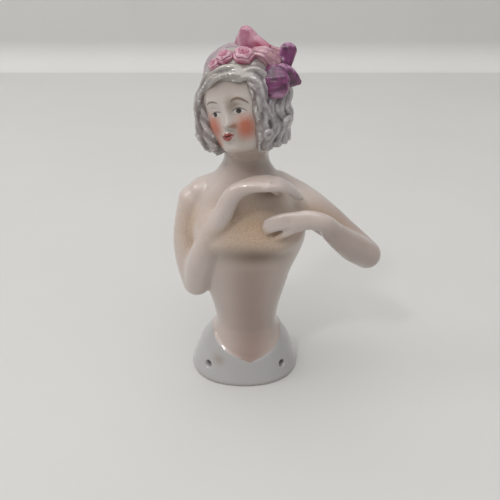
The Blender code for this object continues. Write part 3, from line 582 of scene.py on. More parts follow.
def face_masks(x, z):
    """Painted shapes of the face, 0 to 1, from distances to arcs, ellipses and the lips' edges."""
    brows = (stroke(x, z, (-5.8, 1.75), (-4.0, 2.6), (-2.1, 2.35), 0.24)
             + stroke(x, z, (1.5, 2.55), (3.4, 3.2), (5.5, 1.7), 0.34))
    lids = (stroke(x, z, (-5.1, -0.75), (-3.8, -0.05), (-1.8, 0.0), 0.17)
            + stroke(x, z, (1.3, 0.15), (2.95, 0.82), (4.8, -0.1), 0.16))
    pupils = spot(x, z, -3.62, -0.55, 0.58, 0.55, 0.2) + spot(x, z, 2.92, 0.15, 0.66, 0.6, 0.2)
    whites = spot(x, z, -3.6, -0.5, 1.4, 0.6, 0.35) + spot(x, z, 3.0, 0.15, 1.5, 0.62, 0.35)
    arch, middle, upper, lower = lips(x)
    lip = fade(np.minimum(upper - z, z - lower), -0.04, 0.16) * (arch > 0.02)
    gap = (1 - fade(np.abs(z - middle), 0.05, 0.4)) * fade(arch, 0.2, 0.9)
    blush = np.maximum(spot(x, z, -4.8, -3.9, 2.2, 3.0, 0.8), 0.7 * spot(x, z, -4.4, -7.0, 1.1, 3.2, 0.8))
    blush = np.maximum(blush, spot(x, z, 4.0, -3.9, 2.3, 2.7, 0.75))
    shade = 0.8 * spot(x, z, 1.6, 1.6, 1.5, 1.9, 0.8) + spot(x, z, 1.3, -3.2, 0.8, 0.7, 0.7)
    shade = np.maximum(shade, 0.5 * spot(x, z, 2.2, -6.3, 1.6, 2.0, 0.9))
    return {"brow": brows, "lid": lids, "pupil": pupils, "white": whites, "lip": lip, "mouth_line": gap,
            "blush": blush, "shade": shade}


def make_face(material):
    """Level rings of the tilted head, from inside the neck to the crown.

    Above the chin they are a rounded egg with the features on its front. Below it they draw in to the
    neck's own circle and slide over to its middle, which makes the soft slope under the jaw.
    """
    low = -CHIN_DROP - 5.5
    knots = vector(low, -CHIN_DROP - 2.0, -CHIN_DROP, -0.86 * CHIN_DROP, -0.6 * CHIN_DROP,
                   -0.15 * CHIN_DROP, 2.8, 0.6 * CROWN_HEIGHT, 0.87 * CROWN_HEIGHT, CROWN_HEIGHT)
    widths = (5.4, 5.7, 6.0, 6.9, 8.2, 9.0, 9.3, 8.5, 5.8, 1.8)
    fronts = (5.2, 5.6, 6.9, 9.1, 9.9, 10.2, 10.6, 9.7, 6.8, 1.6)
    backs = (5.2, 5.2, 5.0, 4.5, 6.0, 8.5, 9.0, 8.1, 5.8, 1.8)
    even = np.linspace(-np.pi, np.pi, 341)[:-1]
    turn = (even - 0.7 * np.sin(even))[None, :]
    z = np.concatenate([np.linspace(low, -7.5, 55), np.linspace(-7.4, 3.9, 160),
                        np.linspace(4.1, CROWN_HEIGHT, 35)])[:, None]
    power = hermite(z, (low, -CHIN_DROP, -0.4 * CHIN_DROP), (1.0, 0.95, 0.8))
    side, ahead = rounded(turn, power)
    x = hermite(z, knots, widths) * side
    reach = np.where(ahead > 0, hermite(z, knots, fronts), hermite(z, knots, backs))
    front = fade(ahead, 0.1, 0.5)
    y = -reach * ahead - front * face_relief(x, z)
    local = np.stack(np.broadcast_arrays(x, y, z), axis=-1)
    slide = fade(-z, 0.75 * CHIN_DROP, -low)[..., None] * vector(-1.9, 3.0, 0)
    points, faces = skin(HEAD_CENTRE + local @ FACE_AXES + slide)
    masks = {}
    for name, values in face_masks(x, z + 0 * x).items():
        flat = np.clip(values * front, 0, 1).ravel()
        masks[name] = np.concatenate([flat, [0, 0]])
    height = np.broadcast_to(z, x.shape).ravel()
    masks["height"] = np.concatenate([height, [low, CROWN_HEIGHT]])
    put("face", points, faces, material, masks)


# Hair

def way_out(azimuth, elevation):
    """Direction in a head frame for an azimuth from the face and an elevation."""
    level = np.cos(elevation)
    return np.stack(np.broadcast_arrays(level * np.sin(azimuth), -level * np.cos(azimuth),
                                        np.sin(elevation)), axis=-1)


def hair_reach(azimuth, elevation):
    """Distance of the hair's mass from its centre, pressed in by the ribbon at the right temple."""
    way = way_out(azimuth, elevation)
    press = TEMPLE_PRESS * bump(np.degrees(elevation) - 35, 20) * fade(-way[..., 0], 0.2, 0.8)
    depth = np.where(np.cos(azimuth) > 0, HAIR_FRONT, HAIR_BACK)
    spread = np.hypot(way[..., 0] / HAIR_HALF_WIDTH, way[..., 1] / depth)
    lift = np.abs(way[..., 2]) / np.where(elevation > 0, HAIR_TOP, BOB_DROP)
    power = np.where(elevation > 0, 2.05, 3.8)
    return (spread**power + lift**power) ** (-1 / power) - press


def on_hair(azimuth, elevation, proud=0.0):
    """Point on the hair's mass, and the way out from its centre, for two angles in degrees."""
    azimuth = np.radians(azimuth)
    elevation = np.radians(elevation)
    out = way_out(azimuth, elevation) @ HAIR_AXES
    return HAIR_CENTRE + out * (hair_reach(azimuth, elevation) + proud)[..., None], out


def hair_mass():
    """The bob as distances over azimuth and elevation: mass, waves, locks, strands and face opening."""
    turn = circle(520)[None, :]
    rise = np.radians(np.linspace(-88, 88, 320))[:, None]
    way = way_out(turn, rise)
    face_way = way @ HAIR_AXES @ FACE_AXES.T
    azimuth = np.degrees(np.arctan2(face_way[..., 0], -face_way[..., 1]))
    elevation = np.degrees(np.arcsin(face_way[..., 2]))
    level = np.degrees(rise)
    reach = hair_reach(turn, rise)
    side = 1 - fade(elevation, 28, 48)
    reach = reach + 0.35 * np.sin(2 * np.pi * level / HAIR_WAVE_SPACING + 1.6 * np.sin(2 * turn)) * side
    flow = np.degrees(turn) + 6.0 * np.sin(2 * np.pi * (level + 8) / 36)
    locks = np.abs(np.sin(np.pi * flow / HAIR_LOCK_SPACING)) ** 0.5
    strands = np.abs(np.sin(np.pi * (flow + 1.5 * np.sin(level / 9)) / HAIR_STRAND_SPACING)) ** 0.6
    crown = 1 - fade(level, 38, 50)
    reach = reach + (0.8 * (locks - 0.85) + 0.42 * (strands - 0.75)) * crown
    half = np.where(azimuth > -OPENING_TURN, OPENING_RIGHT, OPENING_LEFT)
    across = np.abs(azimuth + OPENING_TURN) / half
    above = np.clip(elevation, 0, 90) / HAIRLINE_ELEVATION
    past = np.where(azimuth > -OPENING_TURN, 1.2, 1.08)
    opening = 1 - fade((across**3 + above**3) ** (1 / 3), 0.9, past)
    right = bump(degrees_from_front(turn + np.radians(85)), 45)
    reach = reach - 0.45 * right * side
    nape = 1 - fade(elevation, -62 - 12 * right, -46 - 12 * right)
    reach = reach * (1 - 0.42 * nape)
    reach = reach + opening * (HAIR_ROOT - reach)
    return skin(HAIR_CENTRE + reach[..., None] * way @ HAIR_AXES)


def strand_relief(twist, depth):
    """Three grooves along a lock that wind round it like the strands of a rope."""
    def relief(turn, share):
        return depth * np.cos(3 * turn + twist * 2 * np.pi * share)
    return relief


def lock(places, sink, twist, depth):
    """A thick lock laid over the hair's mass through places of azimuth, elevation and radius."""
    stations = []
    for azimuth, elevation, radius in places:
        point, _ = on_hair(azimuth, elevation, -sink * radius)
        stations.append((point, radius, radius))
    return limb(stations, HAIR_AXES[1], sides=48, rows=120, relief=strand_relief(twist, depth))


def curl(azimuth, elevation, radius, hand):
    """A flat spiral curl: a tapering tube that winds in to its middle and rises a little."""
    centre, out = on_hair(azimuth, elevation, -0.2)
    first = unit(np.cross(out, HAIR_AXES[2]))
    second = np.cross(out, first)
    stations = []
    for share in np.linspace(0, 1, 16):
        angle = hand * 2 * np.pi * CURL_TURNS * share
        arm = radius * (1 - 0.8 * share)
        place = centre + arm * (np.cos(angle) * first + np.sin(angle) * second) + out * 0.6 * share
        stations.append((place, radius * (0.36 - 0.06 * share), radius * (0.36 - 0.06 * share)))
    return limb(stations, out, sides=24, rows=110)


# Places along each lock: azimuth, elevation and radius
ROLL = ((-70, -20, 0.7), (-63, -4, 0.9), (-59, 12, 0.9), (-51, 26, 1.0), (-40, 36, 1.2), (-29, 42, 1.4),
        (-7, 49, 1.5), (23, 48, 1.5), (47, 47, 1.5), (58, 37, 1.3), (61, 22, 0.9))
FRINGE = ((-52, -46, 0.8), (-48, -32, 1.0), (-53, -16, 1.1), (-49, 2, 0.9), (-43, 15, 0.9), (-31, 28, 0.9),
          (-18, 36, 1.0), (-4, 41, 1.0), (8, 42, 1.1), (21, 40, 1.1), (33, 41, 1.2), (45, 34, 1.3),
          (46, 18, 1.2), (44, 4, 0.9))
INNER_LOCKS = (
    ((-41, 26, 0.7), (-45, 13, 1.0), (-47, 0, 1.1), (-46, -12, 1.2), (-43, -24, 1.4), (-40, -36, 1.6),
     (-38, -47, 1.4)),
    ((-52, -2, 0.8), (-50, -16, 1.0), (-47, -30, 1.3), (-44, -44, 1.3)))
SIDE_LOCKS = (
    ((-60, -46, 0.9), (-58, -30, 1.1), (-62, -12, 1.0), (-56, 4, 0.9), (-53, 18, 0.7)),
    ((53, 26, 1.0), (49, 12, 1.1), (52, -2, 1.1), (48, -14, 1.2), (51, -27, 1.4)),
    ((-98, -42, 1.2), (-86, -50, 1.4), (-70, -52, 1.4)))

# Azimuth, elevation, radius and hand of each curl
CURLS = ((51, -24, 1.7, 1), (85, -19, 1.7, -1), (-56, -34, 1.6, 1))


def make_hair(material):
    """Mass, forehead roll, fringe, side locks and curls fused into one moulded skin."""
    forms = [hair_mass()]
    forms.append(lock(ROLL, sink=0.75, twist=5.0, depth=0.15))
    forms.append(lock(FRINGE, sink=0.5, twist=6.0, depth=0.14))
    forms += [lock(places, sink=0.6, twist=3.0, depth=0.12) for places in SIDE_LOCKS]
    forms += [lock(places, sink=1.6, twist=4.0, depth=0.13) for places in INNER_LOCKS]
    forms += [curl(*place) for place in CURLS]
    points, faces, cavity = fused("hair_fusing", forms, HAIR_VOXEL, 2)
    local = (points - HAIR_CENTRE) @ HAIR_AXES.T
    distance = np.linalg.norm(local, axis=1)
    azimuth = np.degrees(np.arctan2(local[:, 0], -local[:, 1]))
    elevation = np.degrees(np.arcsin(local[:, 2] / distance))
    roll = fade(elevation, 28, 42) * bump(azimuth - 8, 55)
    # Painted shadow in the gap under the curl beside the left cheek
    curl_shadow = bump(azimuth - 64, 2.6) * fade(elevation, -37, -34) * (1 - fade(elevation, -28, -25))
    # Painted brown shade on the hair along the face opening
    face_way = unit(points - HEAD_CENTRE) @ FACE_AXES.T
    across = np.degrees(np.arctan2(face_way[:, 0], -face_way[:, 1])) + OPENING_TURN
    across = np.abs(across) / np.where(across > 0, OPENING_RIGHT + 6, OPENING_LEFT)
    above = np.maximum(np.degrees(np.arcsin(face_way[:, 2])), 0) / HAIRLINE_ELEVATION
    edge = 1 - fade((across**3 + above**3) ** (1 / 3), 1.0, 1.22)
    put("hair", points, faces, material, {"cavity": cavity, "roll": roll, "curl_shadow": curl_shadow, "edge": edge})


# Head-dress

# Azimuth, elevation and radius of each rose
ROSES = ((31, 63, 2.6), (-10, 61, 2.2), (-24, 51, 1.6))

# Loop from its foot to its tip: rise, shift to the left, half width, half depth and lean of its width
LOOP = ((-1.4, 1.0, 5.2, 2.1, 0.22), (0.2, 0.35, 4.1, 2.1, 0.15), (1.5, -0.1, 3.15, 1.8, 0.05),
        (2.6, -0.4, 2.4, 1.5, 0), (3.4, -0.6, 1.8, 1.25, 0), (4.0, -0.75, 1.3, 0.95, 0),
        (4.35, -0.82, 0.85, 0.6, 0), (4.5, -0.85, 0.4, 0.3, 0))


def rose(azimuth, elevation, radius):
    """A small cabbage rose: a dimpled dome with a ring of five petals round a ring of three.

    Each petal's edge stands proud where it laps over the next: a saw wave of the turn in each ring.
    Grooves part the rings, and wander with the petals.
    """
    base, out = on_hair(azimuth, elevation)
    first = unit(np.cross(out, HAIR_AXES[2]))
    second = np.cross(out, first)
    turn = circle(130)[None, :]
    share = np.linspace(0, 1, 90)[:, None]
    polar = np.radians(-35 + 125 * share)
    outer = (turn * 5 / (2 * np.pi) + 1.1 * share) % 1
    inner = (turn * 3 / (2 * np.pi) + 0.4 + 1.3 * share) % 1
    first_ring = share - 0.5 - 0.035 * np.cos(5 * turn)
    second_ring = share - 0.77 - 0.03 * np.cos(3 * turn + 1)
    groove = np.maximum(bump(first_ring, 0.045), bump(second_ring, 0.04))
    in_outer = fade(share, 0.08, 0.2) * (1 - fade(first_ring, -0.03, 0.03))
    in_inner = fade(first_ring, -0.03, 0.03) * (1 - fade(second_ring, -0.03, 0.03))
    outer = outer**3 * (1 - fade(outer, 0.88, 1))
    inner = inner**3 * (1 - fade(inner, 0.9, 1))
    lap = outer * in_outer + inner * in_inner
    swell = radius * (1 + 0.09 * lap - 0.11 * groove)
    spread = swell * np.cos(polar)
    height = swell * 0.72 * np.sin(polar) - 0.25 * radius * bump(share - 1, 0.13)
    ring = np.cos(turn)[..., None] * first + np.sin(turn)[..., None] * second
    points, faces = skin(base + height[..., None] * out + spread[..., None] * ring)
    low = 1 - fade(share, 0.15, 0.5) + 0 * turn
    heart = fade(share, 0.86, 0.97) + 0 * turn
    pale = np.clip(lap + 0.7 * bump(first_ring - 0.1, 0.08), 0, 1)
    # The grooves' mask: crimson paint deepened by painted shade
    return points, faces, {"shade": np.concatenate([groove.ravel(), [0, 0]]),
                           "pale": np.concatenate([pale.ravel(), [0, 0]]),
                           "deep": np.concatenate([np.maximum(low, heart).ravel(), [1, 1]])}


def make_roses(material):
    """Three roses across the front of the crown, the largest nearest the bow."""
    for number, place in enumerate(ROSES):
        points, faces, masks = rose(*place)
        put(f"rose_{number + 1}", points, faces, material, masks)


def make_loop(material):
    """The folded loop: a tongue with a broad foot that narrows to a tip and leans to the right."""
    foot, out = on_hair(73, 81)
    side = HAIR_AXES[0]
    across = [unit(side - tilt * HAIR_AXES[2]) for *_, tilt in LOOP]
    stations = [(foot + out * rise + side * shift, wide, deep) for rise, shift, wide, deep, _ in LOOP]

    def folds(turn, share):
        return 0.06 * np.cos(3 * turn + 0.9 - 2 * share) * (1 - share) + 0.02 * np.cos(9 * turn)

    points, faces = limb(stations, across, sides=110, rows=80, relief=folds, tip=0.2)
    height = (points - foot) @ out
    along = (points - foot) @ side
    # Painted highlight along the fold (pale mask); painted shade towards the foot (shade mask)
    crease = bump(along + 1.2 + 0.3 * height, 0.6) * fade(height, -0.5, 0.5)
    ends = fade(np.abs(along - 0.2), 1.2, 3.6) * (1 - fade(height, 0.9, 2.8))
    put("ribbon_loop", points, faces, material,
        {"deep": ends, "pale": crease, "shade": 0.6 * (1 - fade(height, -0.8, 1.0))})


def brushed(turn, share):
    """Shallow folds along a lobe with finer brush marks across them."""
    return 0.035 * np.cos(5 * turn + 3) + 0.012 * np.cos(23 * share + 2 * turn)


def dished(turn, share):
    """A lobe whose front is pressed in to a hollow, which leaves a rim round it."""
    return brushed(turn, share) - 0.3 * bump(np.sin(turn) + 1, 0.35) * bump(share - 0.6, 0.28)


def gathers(turn, share):
    """Narrow folds along a gathered ribbon."""
    return 0.05 * np.cos(8 * turn + 2 * share) + 0.03 * np.cos(13 * turn - 3 * share)


def make_bow(purple, mauve):
    """The gathered knot and three lobes at the left temple: one up, one out to the side, one down."""
    level = vector(1, 0, 0)
    start, out = on_hair(64, 65.5)
    end, _ = on_hair(84, 48, 0.3)
    knot = [(start, 2.2, 1.3), ((start + end) / 2 + out * 0.7, 2.9, 1.8), (end, 2.7, 1.7)]
    points, faces = limb(knot, HAIR_AXES[1], sides=100, rows=60, relief=gathers)
    put("bow_knot", points, faces, mauve)

    root, _ = on_hair(88, 49)
    top = root + vector(3.5, 1.6, 2.5)
    up = aim(1.1, 1.0, 3.3)
    start = top - up * 4.6
    web = [(on_hair(78, 73, 0.1)[0], 1.9, 1.3), ((start + top) / 2 + vector(-1.7, 1.2, 0.7), 1.8, 1.2),
           (start * 0.4 + top * 0.6 + vector(0, 1.2, 0), 1.2, 0.9)]
    points, faces = limb(web, vector(0, 0, 1), sides=80, rows=50, relief=gathers)
    put("bow_web", points, faces, mauve)

    stations = [(start, 1.5, 1.3), (start + up * 1.8, 1.95, 1.5), (top, 2.05, 1.75)]
    points, faces = limb(stations, level, sides=90, rows=60, relief=dished)
    aside = np.abs((points - start - ((points - start) @ up)[:, None] * up) @ level)
    above = (points - start) @ up
    rim = np.maximum(fade(aside, 1.35, 1.85) * fade(above, 1, 3), fade(above, 5.2, 6.0))
    put("bow_lobe_up", points, faces, purple, {"rim": rim})

    root = on_hair(71, 42)[0] - vector(0, 0, 0.5)
    away = aim(6.2, 2.7, -2.7)
    tall = aim(0.45, -0.2, 1.0)
    stations = [(root, 2.2, 1.7), (root + away * 3.0, 3.1, 1.7), (root + away * 5.0, 2.7, 1.4),
                (root + away * 7.0, 1.6, 1.0), (root + away * 8.0, 0.8, 0.6)]
    points, faces = limb(stations, tall, sides=90, rows=70, relief=dished)
    edge = np.abs((points - root) @ tall) / 2.5
    put("bow_lobe_out", points, faces, purple, {"rim": fade(edge, 0.65, 1.0)})

    root, _ = on_hair(68, 40)
    down = aim(0.6, -1.7, -3.2)
    start = root + vector(0.9, 0, -0.2)
    stations = [(start, 2.7, 1.8), (start + down * 1.9, 3.4, 2.2), (start + down * 3.9, 2.9, 2.0)]
    points, faces = limb(stations, level, sides=90, rows=60, relief=brushed)
    spread = np.abs((points - start) @ level)
    rim = np.maximum(fade((points - root) @ down, 4.6, 5.8), 0.6 * fade(spread, 2.6, 3.3))
    put("bow_lobe_down", points, faces, purple, {"rim": rim})


def make_ribbon(material):
    """The flat band that runs from behind the roses over the crown to the bow, hugging the hair."""
    angles = np.array([(-44, 44), (-62, 56), (-80, 74), (73, 82), (88, 64)], float)
    points, outs = on_hair(angles[:, 0], angles[:, 1], vector(-0.9, -0.3, -0.25, -0.25, -0.25))
    along = unit(np.gradient(points, axis=0))
    stations = [(point, 2.3, 0.75) for point in points]
    skin_points, faces = limb(stations, np.cross(outs, along), sides=60, rows=110)
    put("ribbon", skin_points, faces, material)


# Figure

def figure_masks(points):
    """Stains, grime, painted shade and the white skirt band of the bare figure, from its points alone."""
    x, y, z = points.T
    azimuth = np.arctan2(x, -y * FOOT_HALF_WIDTH / FOOT_HALF_DEPTH)
    band = z - band_line(azimuth)
    sway, lean = (hermite(z, TRUNK[:, 0], TRUNK[:, k]) for k in (3, 4))
    nearest = trunk_point(np.arctan2(x - sway, (lean - y) * FOOT_HALF_WIDTH / FOOT_HALF_DEPTH), z)
    on_trunk = 1 - fade(np.linalg.norm(points - nearest, axis=1), 1.5, 3.5)
    chest = bump(x - 3, 12) * bump(z - 51, 8) * fade(-y, 4, 7) * on_trunk
    arm = bump(x + 13.5, 5) * bump(z - 47, 8) * fade(-y, -3, 1.5) * (1 - fade(-y, 4.5, 7))
    left = bump(x - 20, 9) * bump(z - 53 + 0.6 * (x - 18), 3.5) * fade(-y, 0, 3) * (1 - fade(-y, 5, 8))
    stain = np.clip(chest + 0.8 * arm + 0.7 * left, 0, 1)
    # Painted shade on the front of the neck, under the head
    neck = bump(np.hypot(x - 0.8, 0.2 * (y + 5)), 6) * fade(z, 60, 67) * fade(-y, 1, 5)
    # Painted shadow under the bust, and under the right hand's fingers on the left shoulder
    under = bump(z - 42.6, 3.0) * bump(x - 3.2, 8.5) * fade(-y, 6, 9)
    bust = on_trunk * fade(-y, 1, 4)
    under = np.maximum(under, 0.9 * bump(z - 59.2, 1.6) * bump(x - 7.5, 4.5) * bust)
    # Browner belly and doll's left side: partly stain, partly painted shade
    belly = (1 - fade(z, 36, 44)) * fade(-y, -2, 3) * bump(x - sway - 1.5, 7)
    belly = np.maximum(belly, 0.6 * fade(x, 15, 24) * (1 - fade(z, 50, 58)))
    crust = bump(x - 13.5, 4) * bump(z - 55.8, 2.4) * fade(-y, -2, 1) * (1 - fade(-y, 9, 11))
    patch = bump(x + 7.6, 1.7) * bump(z - 7.2, 1.5) * fade(-y, 3, 6)
    grime = np.maximum(patch, 0.6 * (1 - fade(z, 0.2, 1.4)))
    return {"band": band, "stain": stain, "neck": neck, "under": under, "belly": belly, "crust": crust,
            "grime": grime}


def make_figure(material):
    """Trunk, shoulders, arms and hands fused into one skin, hollow from the foot, with its sewing holes."""
    forms = [trunk(), yoke()] + right_arm() + left_arm()
    hollows = [trunk_hollow()] + [sewing_hole(azimuth) for azimuth in SEWING_HOLE_AZIMUTHS]
    points, faces, cavity = fused("figure_fusing", forms, FIGURE_VOXEL, 8, hollows)
    points[:, 2] = np.maximum(points[:, 2], 0)
    put("figure", points, faces, material, {"cavity": cavity, **figure_masks(points)})


# Materials

def colour(red, green, blue):
    """Linear colour from the 0 to 255 values that a screen shows."""
    screen = vector(red, green, blue) / 255
    linear = np.where(screen <= 0.04045, screen / 12.92, ((screen + 0.055) / 1.055) ** 2.4)
    return (*linear.tolist(), 1)


class Paint:
    """Short ways to add nodes to one tree."""

    def __init__(self, tree):
        self.tree = tree
        self.place = None

    def node(self, kind, **settings):
        """New node with its settings."""
        made = self.tree.nodes.new(kind)
        for name, value in settings.items():
            setattr(made, name, value)
        return made

    def feed(self, socket, value):
        """Link another node's output to a socket, or set a plain value on it."""
        if isinstance(value, bpy.types.NodeSocket):
            self.tree.links.new(value, socket)
        elif value is not None:
            socket.default_value = value

    def mask(self, name):
        """One of the masks that `put` wrote on the mesh."""
        return self.node("ShaderNodeAttribute", attribute_name=name).outputs["Fac"]

    def noise(self, scale, detail, roughness=0.5):
        """Noise over the object's own coordinates."""
        if self.place is None:
            self.place = self.node("ShaderNodeTexCoord").outputs["Object"]
        made = self.node("ShaderNodeTexNoise")
        self.feed(made.inputs["Vector"], self.place)
        made.inputs["Scale"].default_value = scale
        made.inputs["Detail"].default_value = detail
        made.inputs["Roughness"].default_value = roughness
        return made.outputs["Fac"]

    def math(self, operation, *values):
        """Math node fed with its values in order."""
        made = self.node("ShaderNodeMath", operation=operation)
        for socket, value in zip(made.inputs, values):
            self.feed(socket, value)
        return made.outputs[0]

    def times(self, first, second):
        """Product of two values."""
        return self.math("MULTIPLY", first, second)

    def between(self, value, low, high):
        """0 at low, 1 at high, smooth between, and falling where low is the greater."""
        made = self.node("ShaderNodeMapRange", interpolation_type="SMOOTHSTEP")
        self.feed(made.inputs["Value"], value)
        made.inputs["From Min"].default_value = low
        made.inputs["From Max"].default_value = high
        return made.outputs["Result"]

    def mix(self, share, first, second):
        """First colour where the share is 0, second where it is 1."""
        made = self.node("ShaderNodeMix", data_type="RGBA")
        self.feed(made.inputs["Factor"], share)
        self.feed(made.inputs["A"], first)
        self.feed(made.inputs["B"], second)
        return made.outputs["Result"]

    def over(self, body, mask, share, tone):
        """Tone laid over the body colour by a share of a mask."""
        return self.mix(self.times(mask, share), body, tone)


def glaze_group():
    """Shared look of a hand-glazed surface: cloudy tone, fine pits and an orange-peel height."""
    group = bpy.data.node_groups.new("glaze", "ShaderNodeTree")
    group.interface.new_socket("Colour", in_out="INPUT", socket_type="NodeSocketColor")
    group.interface.new_socket("Dirt colour", in_out="INPUT", socket_type="NodeSocketColor")
    group.interface.new_socket("Pits", in_out="INPUT", socket_type="NodeSocketFloat")
    group.interface.new_socket("Colour", in_out="OUTPUT", socket_type="NodeSocketColor")
    group.interface.new_socket("Height", in_out="OUTPUT", socket_type="NodeSocketFloat")
    paint = Paint(group)
    entry = paint.node("NodeGroupInput")
    leave = paint.node("NodeGroupOutput")
    dirt = entry.outputs["Dirt colour"]
    cloud = paint.between(paint.noise(120, 3), 0.35, 0.65)
    toned = paint.over(entry.outputs["Colour"], cloud, 0.06, dirt)
    specks = paint.between(paint.noise(1900, 1), 0.7, 0.76)
    rare = paint.between(paint.noise(260, 2), 0.5, 0.62)
    pits = paint.times(paint.times(specks, rare), entry.outputs["Pits"])
    paint.feed(leave.inputs["Colour"], paint.mix(pits, toned, dirt))
    paint.feed(leave.inputs["Height"], paint.noise(420, 2))
    return group


GLAZE = glaze_group()


def glazed(name, coat=0.8, roughness=0.35, coat_roughness=0.08, relief=0.02):
    """Material with the shared glaze; returns it, its Paint, its shader and the glaze node."""
    material = bpy.data.materials.new(name)
    material.use_nodes = True
    paint = Paint(material.node_tree)
    shader = material.node_tree.nodes["Principled BSDF"]
    shader.inputs["Roughness"].default_value = roughness
    shader.inputs["Coat Weight"].default_value = coat
    shader.inputs["Coat Roughness"].default_value = coat_roughness
    shader.inputs["IOR"].default_value = 1.5
    glaze = paint.node("ShaderNodeGroup", node_tree=GLAZE)
    glaze.inputs["Pits"].default_value = 0.35
    glaze.inputs["Dirt colour"].default_value = colour(120, 98, 82)
    paint.feed(shader.inputs["Base Color"], glaze.outputs["Colour"])
    rough = paint.node("ShaderNodeBump")
    rough.inputs["Strength"].default_value = relief
    rough.inputs["Distance"].default_value = MM
    paint.feed(rough.inputs["Height"], glaze.outputs["Height"])
    paint.feed(shader.inputs["Normal"], rough.outputs["Normal"])
    return material, paint, shader, glaze


def figure_porcelain():
    """Flesh-tinted glaze, browner on the belly, tan and matte where the chest is stained.

    The skirt band is a greyer white. Dirt and painted shade lie in the hollows. Dirt lies along the waist
    line, round the foot and in one patch on the band. Painted shade, with some stain, browns the belly
    and the doll's left side; painted shade also darkens the neck and lies under the bust and under the
    right hand's fingers.
    """
    material, paint, shader, glaze = glazed("figure_porcelain")
    shader.inputs["Sheen Weight"].default_value = 0.3
    shader.inputs["Sheen Roughness"].default_value = 0.35
    stain = paint.mask("stain")
    line = paint.mask("band")
    grain = paint.times(stain, paint.between(paint.noise(2600, 2, 0.7), 0.48, 0.62))
    crease = paint.times(paint.between(line, -0.1, 0.1), paint.between(line, 0.7, 0.1))
    # Browner belly and doll's left side: partly stain, partly painted shade
    body = paint.over(colour(198, 184, 177), paint.mask("belly"), 0.8, colour(142, 118, 108))
    body = paint.over(body, stain, 0.9, colour(192, 166, 139))
    body = paint.over(body, grain, 0.4, colour(150, 108, 70))
    # Painted shade on the neck, under the head
    body = paint.over(body, paint.mask("neck"), 0.35, colour(150, 122, 104))
    # Painted shadow under the bust and under the right hand's fingers
    body = paint.over(body, paint.mask("under"), 0.9, colour(110, 88, 68))
    body = paint.over(body, paint.mask("crust"), 0.75, colour(228, 220, 210))
    body = paint.mix(paint.between(line, 0.15, -0.15), body, colour(172, 170, 169))
    body = paint.over(body, paint.mask("grime"), 0.5, colour(138, 118, 94))
    body = paint.over(body, crease, 0.2, colour(130, 104, 88))
    # Dirt and painted shade in the hollows of the skin
    body = paint.over(body, paint.between(paint.mask("cavity"), 0.12, 0.75), 0.7, colour(128, 98, 74))
    paint.feed(glaze.inputs["Colour"], body)
    paint.feed(shader.inputs["Roughness"], paint.math("MULTIPLY_ADD", stain, 0.35, 0.3))
    paint.feed(shader.inputs["Coat Weight"], paint.math("MULTIPLY_ADD", stain, -0.6, 0.6))
    return material


def face_porcelain():
    """The glaze, with brown painted shade above the eyes and on the neck, painted brows, eyes, lips and
    blush.
    """
    material, paint, _, glaze = glazed("face_porcelain")
    glaze.inputs["Pits"].default_value = 0.1
    height = paint.mask("height")
    blush = paint.times(paint.mask("blush"), paint.between(paint.noise(300, 2), 0.0, 0.5))
    # Painted shade under the jaw, where the face piece runs into the neck
    body = paint.mix(paint.between(height, -7, -14), colour(200, 190, 183), colour(190, 172, 160))
    body = paint.over(body, paint.mask("shade"), 0.8, colour(124, 100, 76))
    # Painted shadow of the hair over the forehead
    body = paint.over(body, paint.between(height, 2, 7), 0.65, colour(156, 140, 130))
    body = paint.over(body, blush, 0.95, colour(180, 88, 54))
    body = paint.over(body, paint.mask("white"), 0.5, colour(206, 206, 204))
    body = paint.over(body, paint.mask("brow"), 0.85, colour(104, 78, 56))
    body = paint.over(body, paint.mask("lid"), 0.85, colour(70, 60, 56))
    body = paint.mix(paint.mask("pupil"), body, colour(16, 13, 13))
    body = paint.over(body, paint.mask("lip"), 0.95, colour(150, 46, 34))
    body = paint.over(body, paint.mask("mouth_line"), 0.8, colour(88, 16, 10))
    paint.feed(glaze.inputs["Colour"], body)
    return material


def hair_glaze():
    """Streaky grey, dark in the grooves and pale where it is proud.

    Painted brown shade lies beside the face and a painted shadow under one curl; painted white glints fleck
    the proud strands.
    """
    material, paint, _, glaze = glazed("hair_glaze", coat=1.0, roughness=0.28, relief=0.03)
    hollow = paint.mask("cavity")
    proud = paint.between(hollow, -0.02, -0.16)
    roll = paint.times(paint.mask("roll"), paint.between(hollow, 0.12, -0.02))
    # Painted white glints on the proud strands
    painted_glints = paint.times(paint.between(paint.noise(1300, 2), 0.56, 0.72), proud)
    streak = paint.between(paint.noise(700, 3), 0.35, 0.65)
    body = paint.mix(streak, colour(162, 155, 156), colour(136, 129, 132))
    # Painted brown shade beside the face
    body = paint.over(body, paint.mask("edge"), 0.5, colour(104, 84, 70))
    body = paint.over(body, paint.between(hollow, 0.0, 0.22), 0.8, colour(66, 58, 58))
    body = paint.over(body, proud, 0.4, colour(206, 202, 200))
    body = paint.over(body, roll, 0.8, colour(158, 152, 141))
    body = paint.over(body, painted_glints, 0.75, colour(232, 230, 228))
    # Painted shadow under the curl
    body = paint.mix(paint.mask("curl_shadow"), body, colour(30, 26, 26))
    paint.feed(glaze.inputs["Colour"], body)
    return material


def petal_glaze():
    """Rose pink that thins to white on the petals' edges and pools to crimson in the folds.

    Painted shade deepens the folds and the loop's foot; a painted highlight runs along the loop's fold.
    """
    material, paint, _, glaze = glazed("petal_glaze")
    wash = paint.between(paint.noise(450, 3), 0.3, 0.7)
    body = paint.mix(wash, colour(184, 130, 148), colour(160, 90, 118))
    body = paint.over(body, paint.mask("deep"), 0.9, colour(154, 44, 82))
    body = paint.over(body, paint.mask("shade"), 0.85, colour(150, 58, 98))
    body = paint.over(body, paint.mask("pale"), 0.45, colour(222, 196, 202))
    paint.feed(glaze.inputs["Colour"], body)
    return material


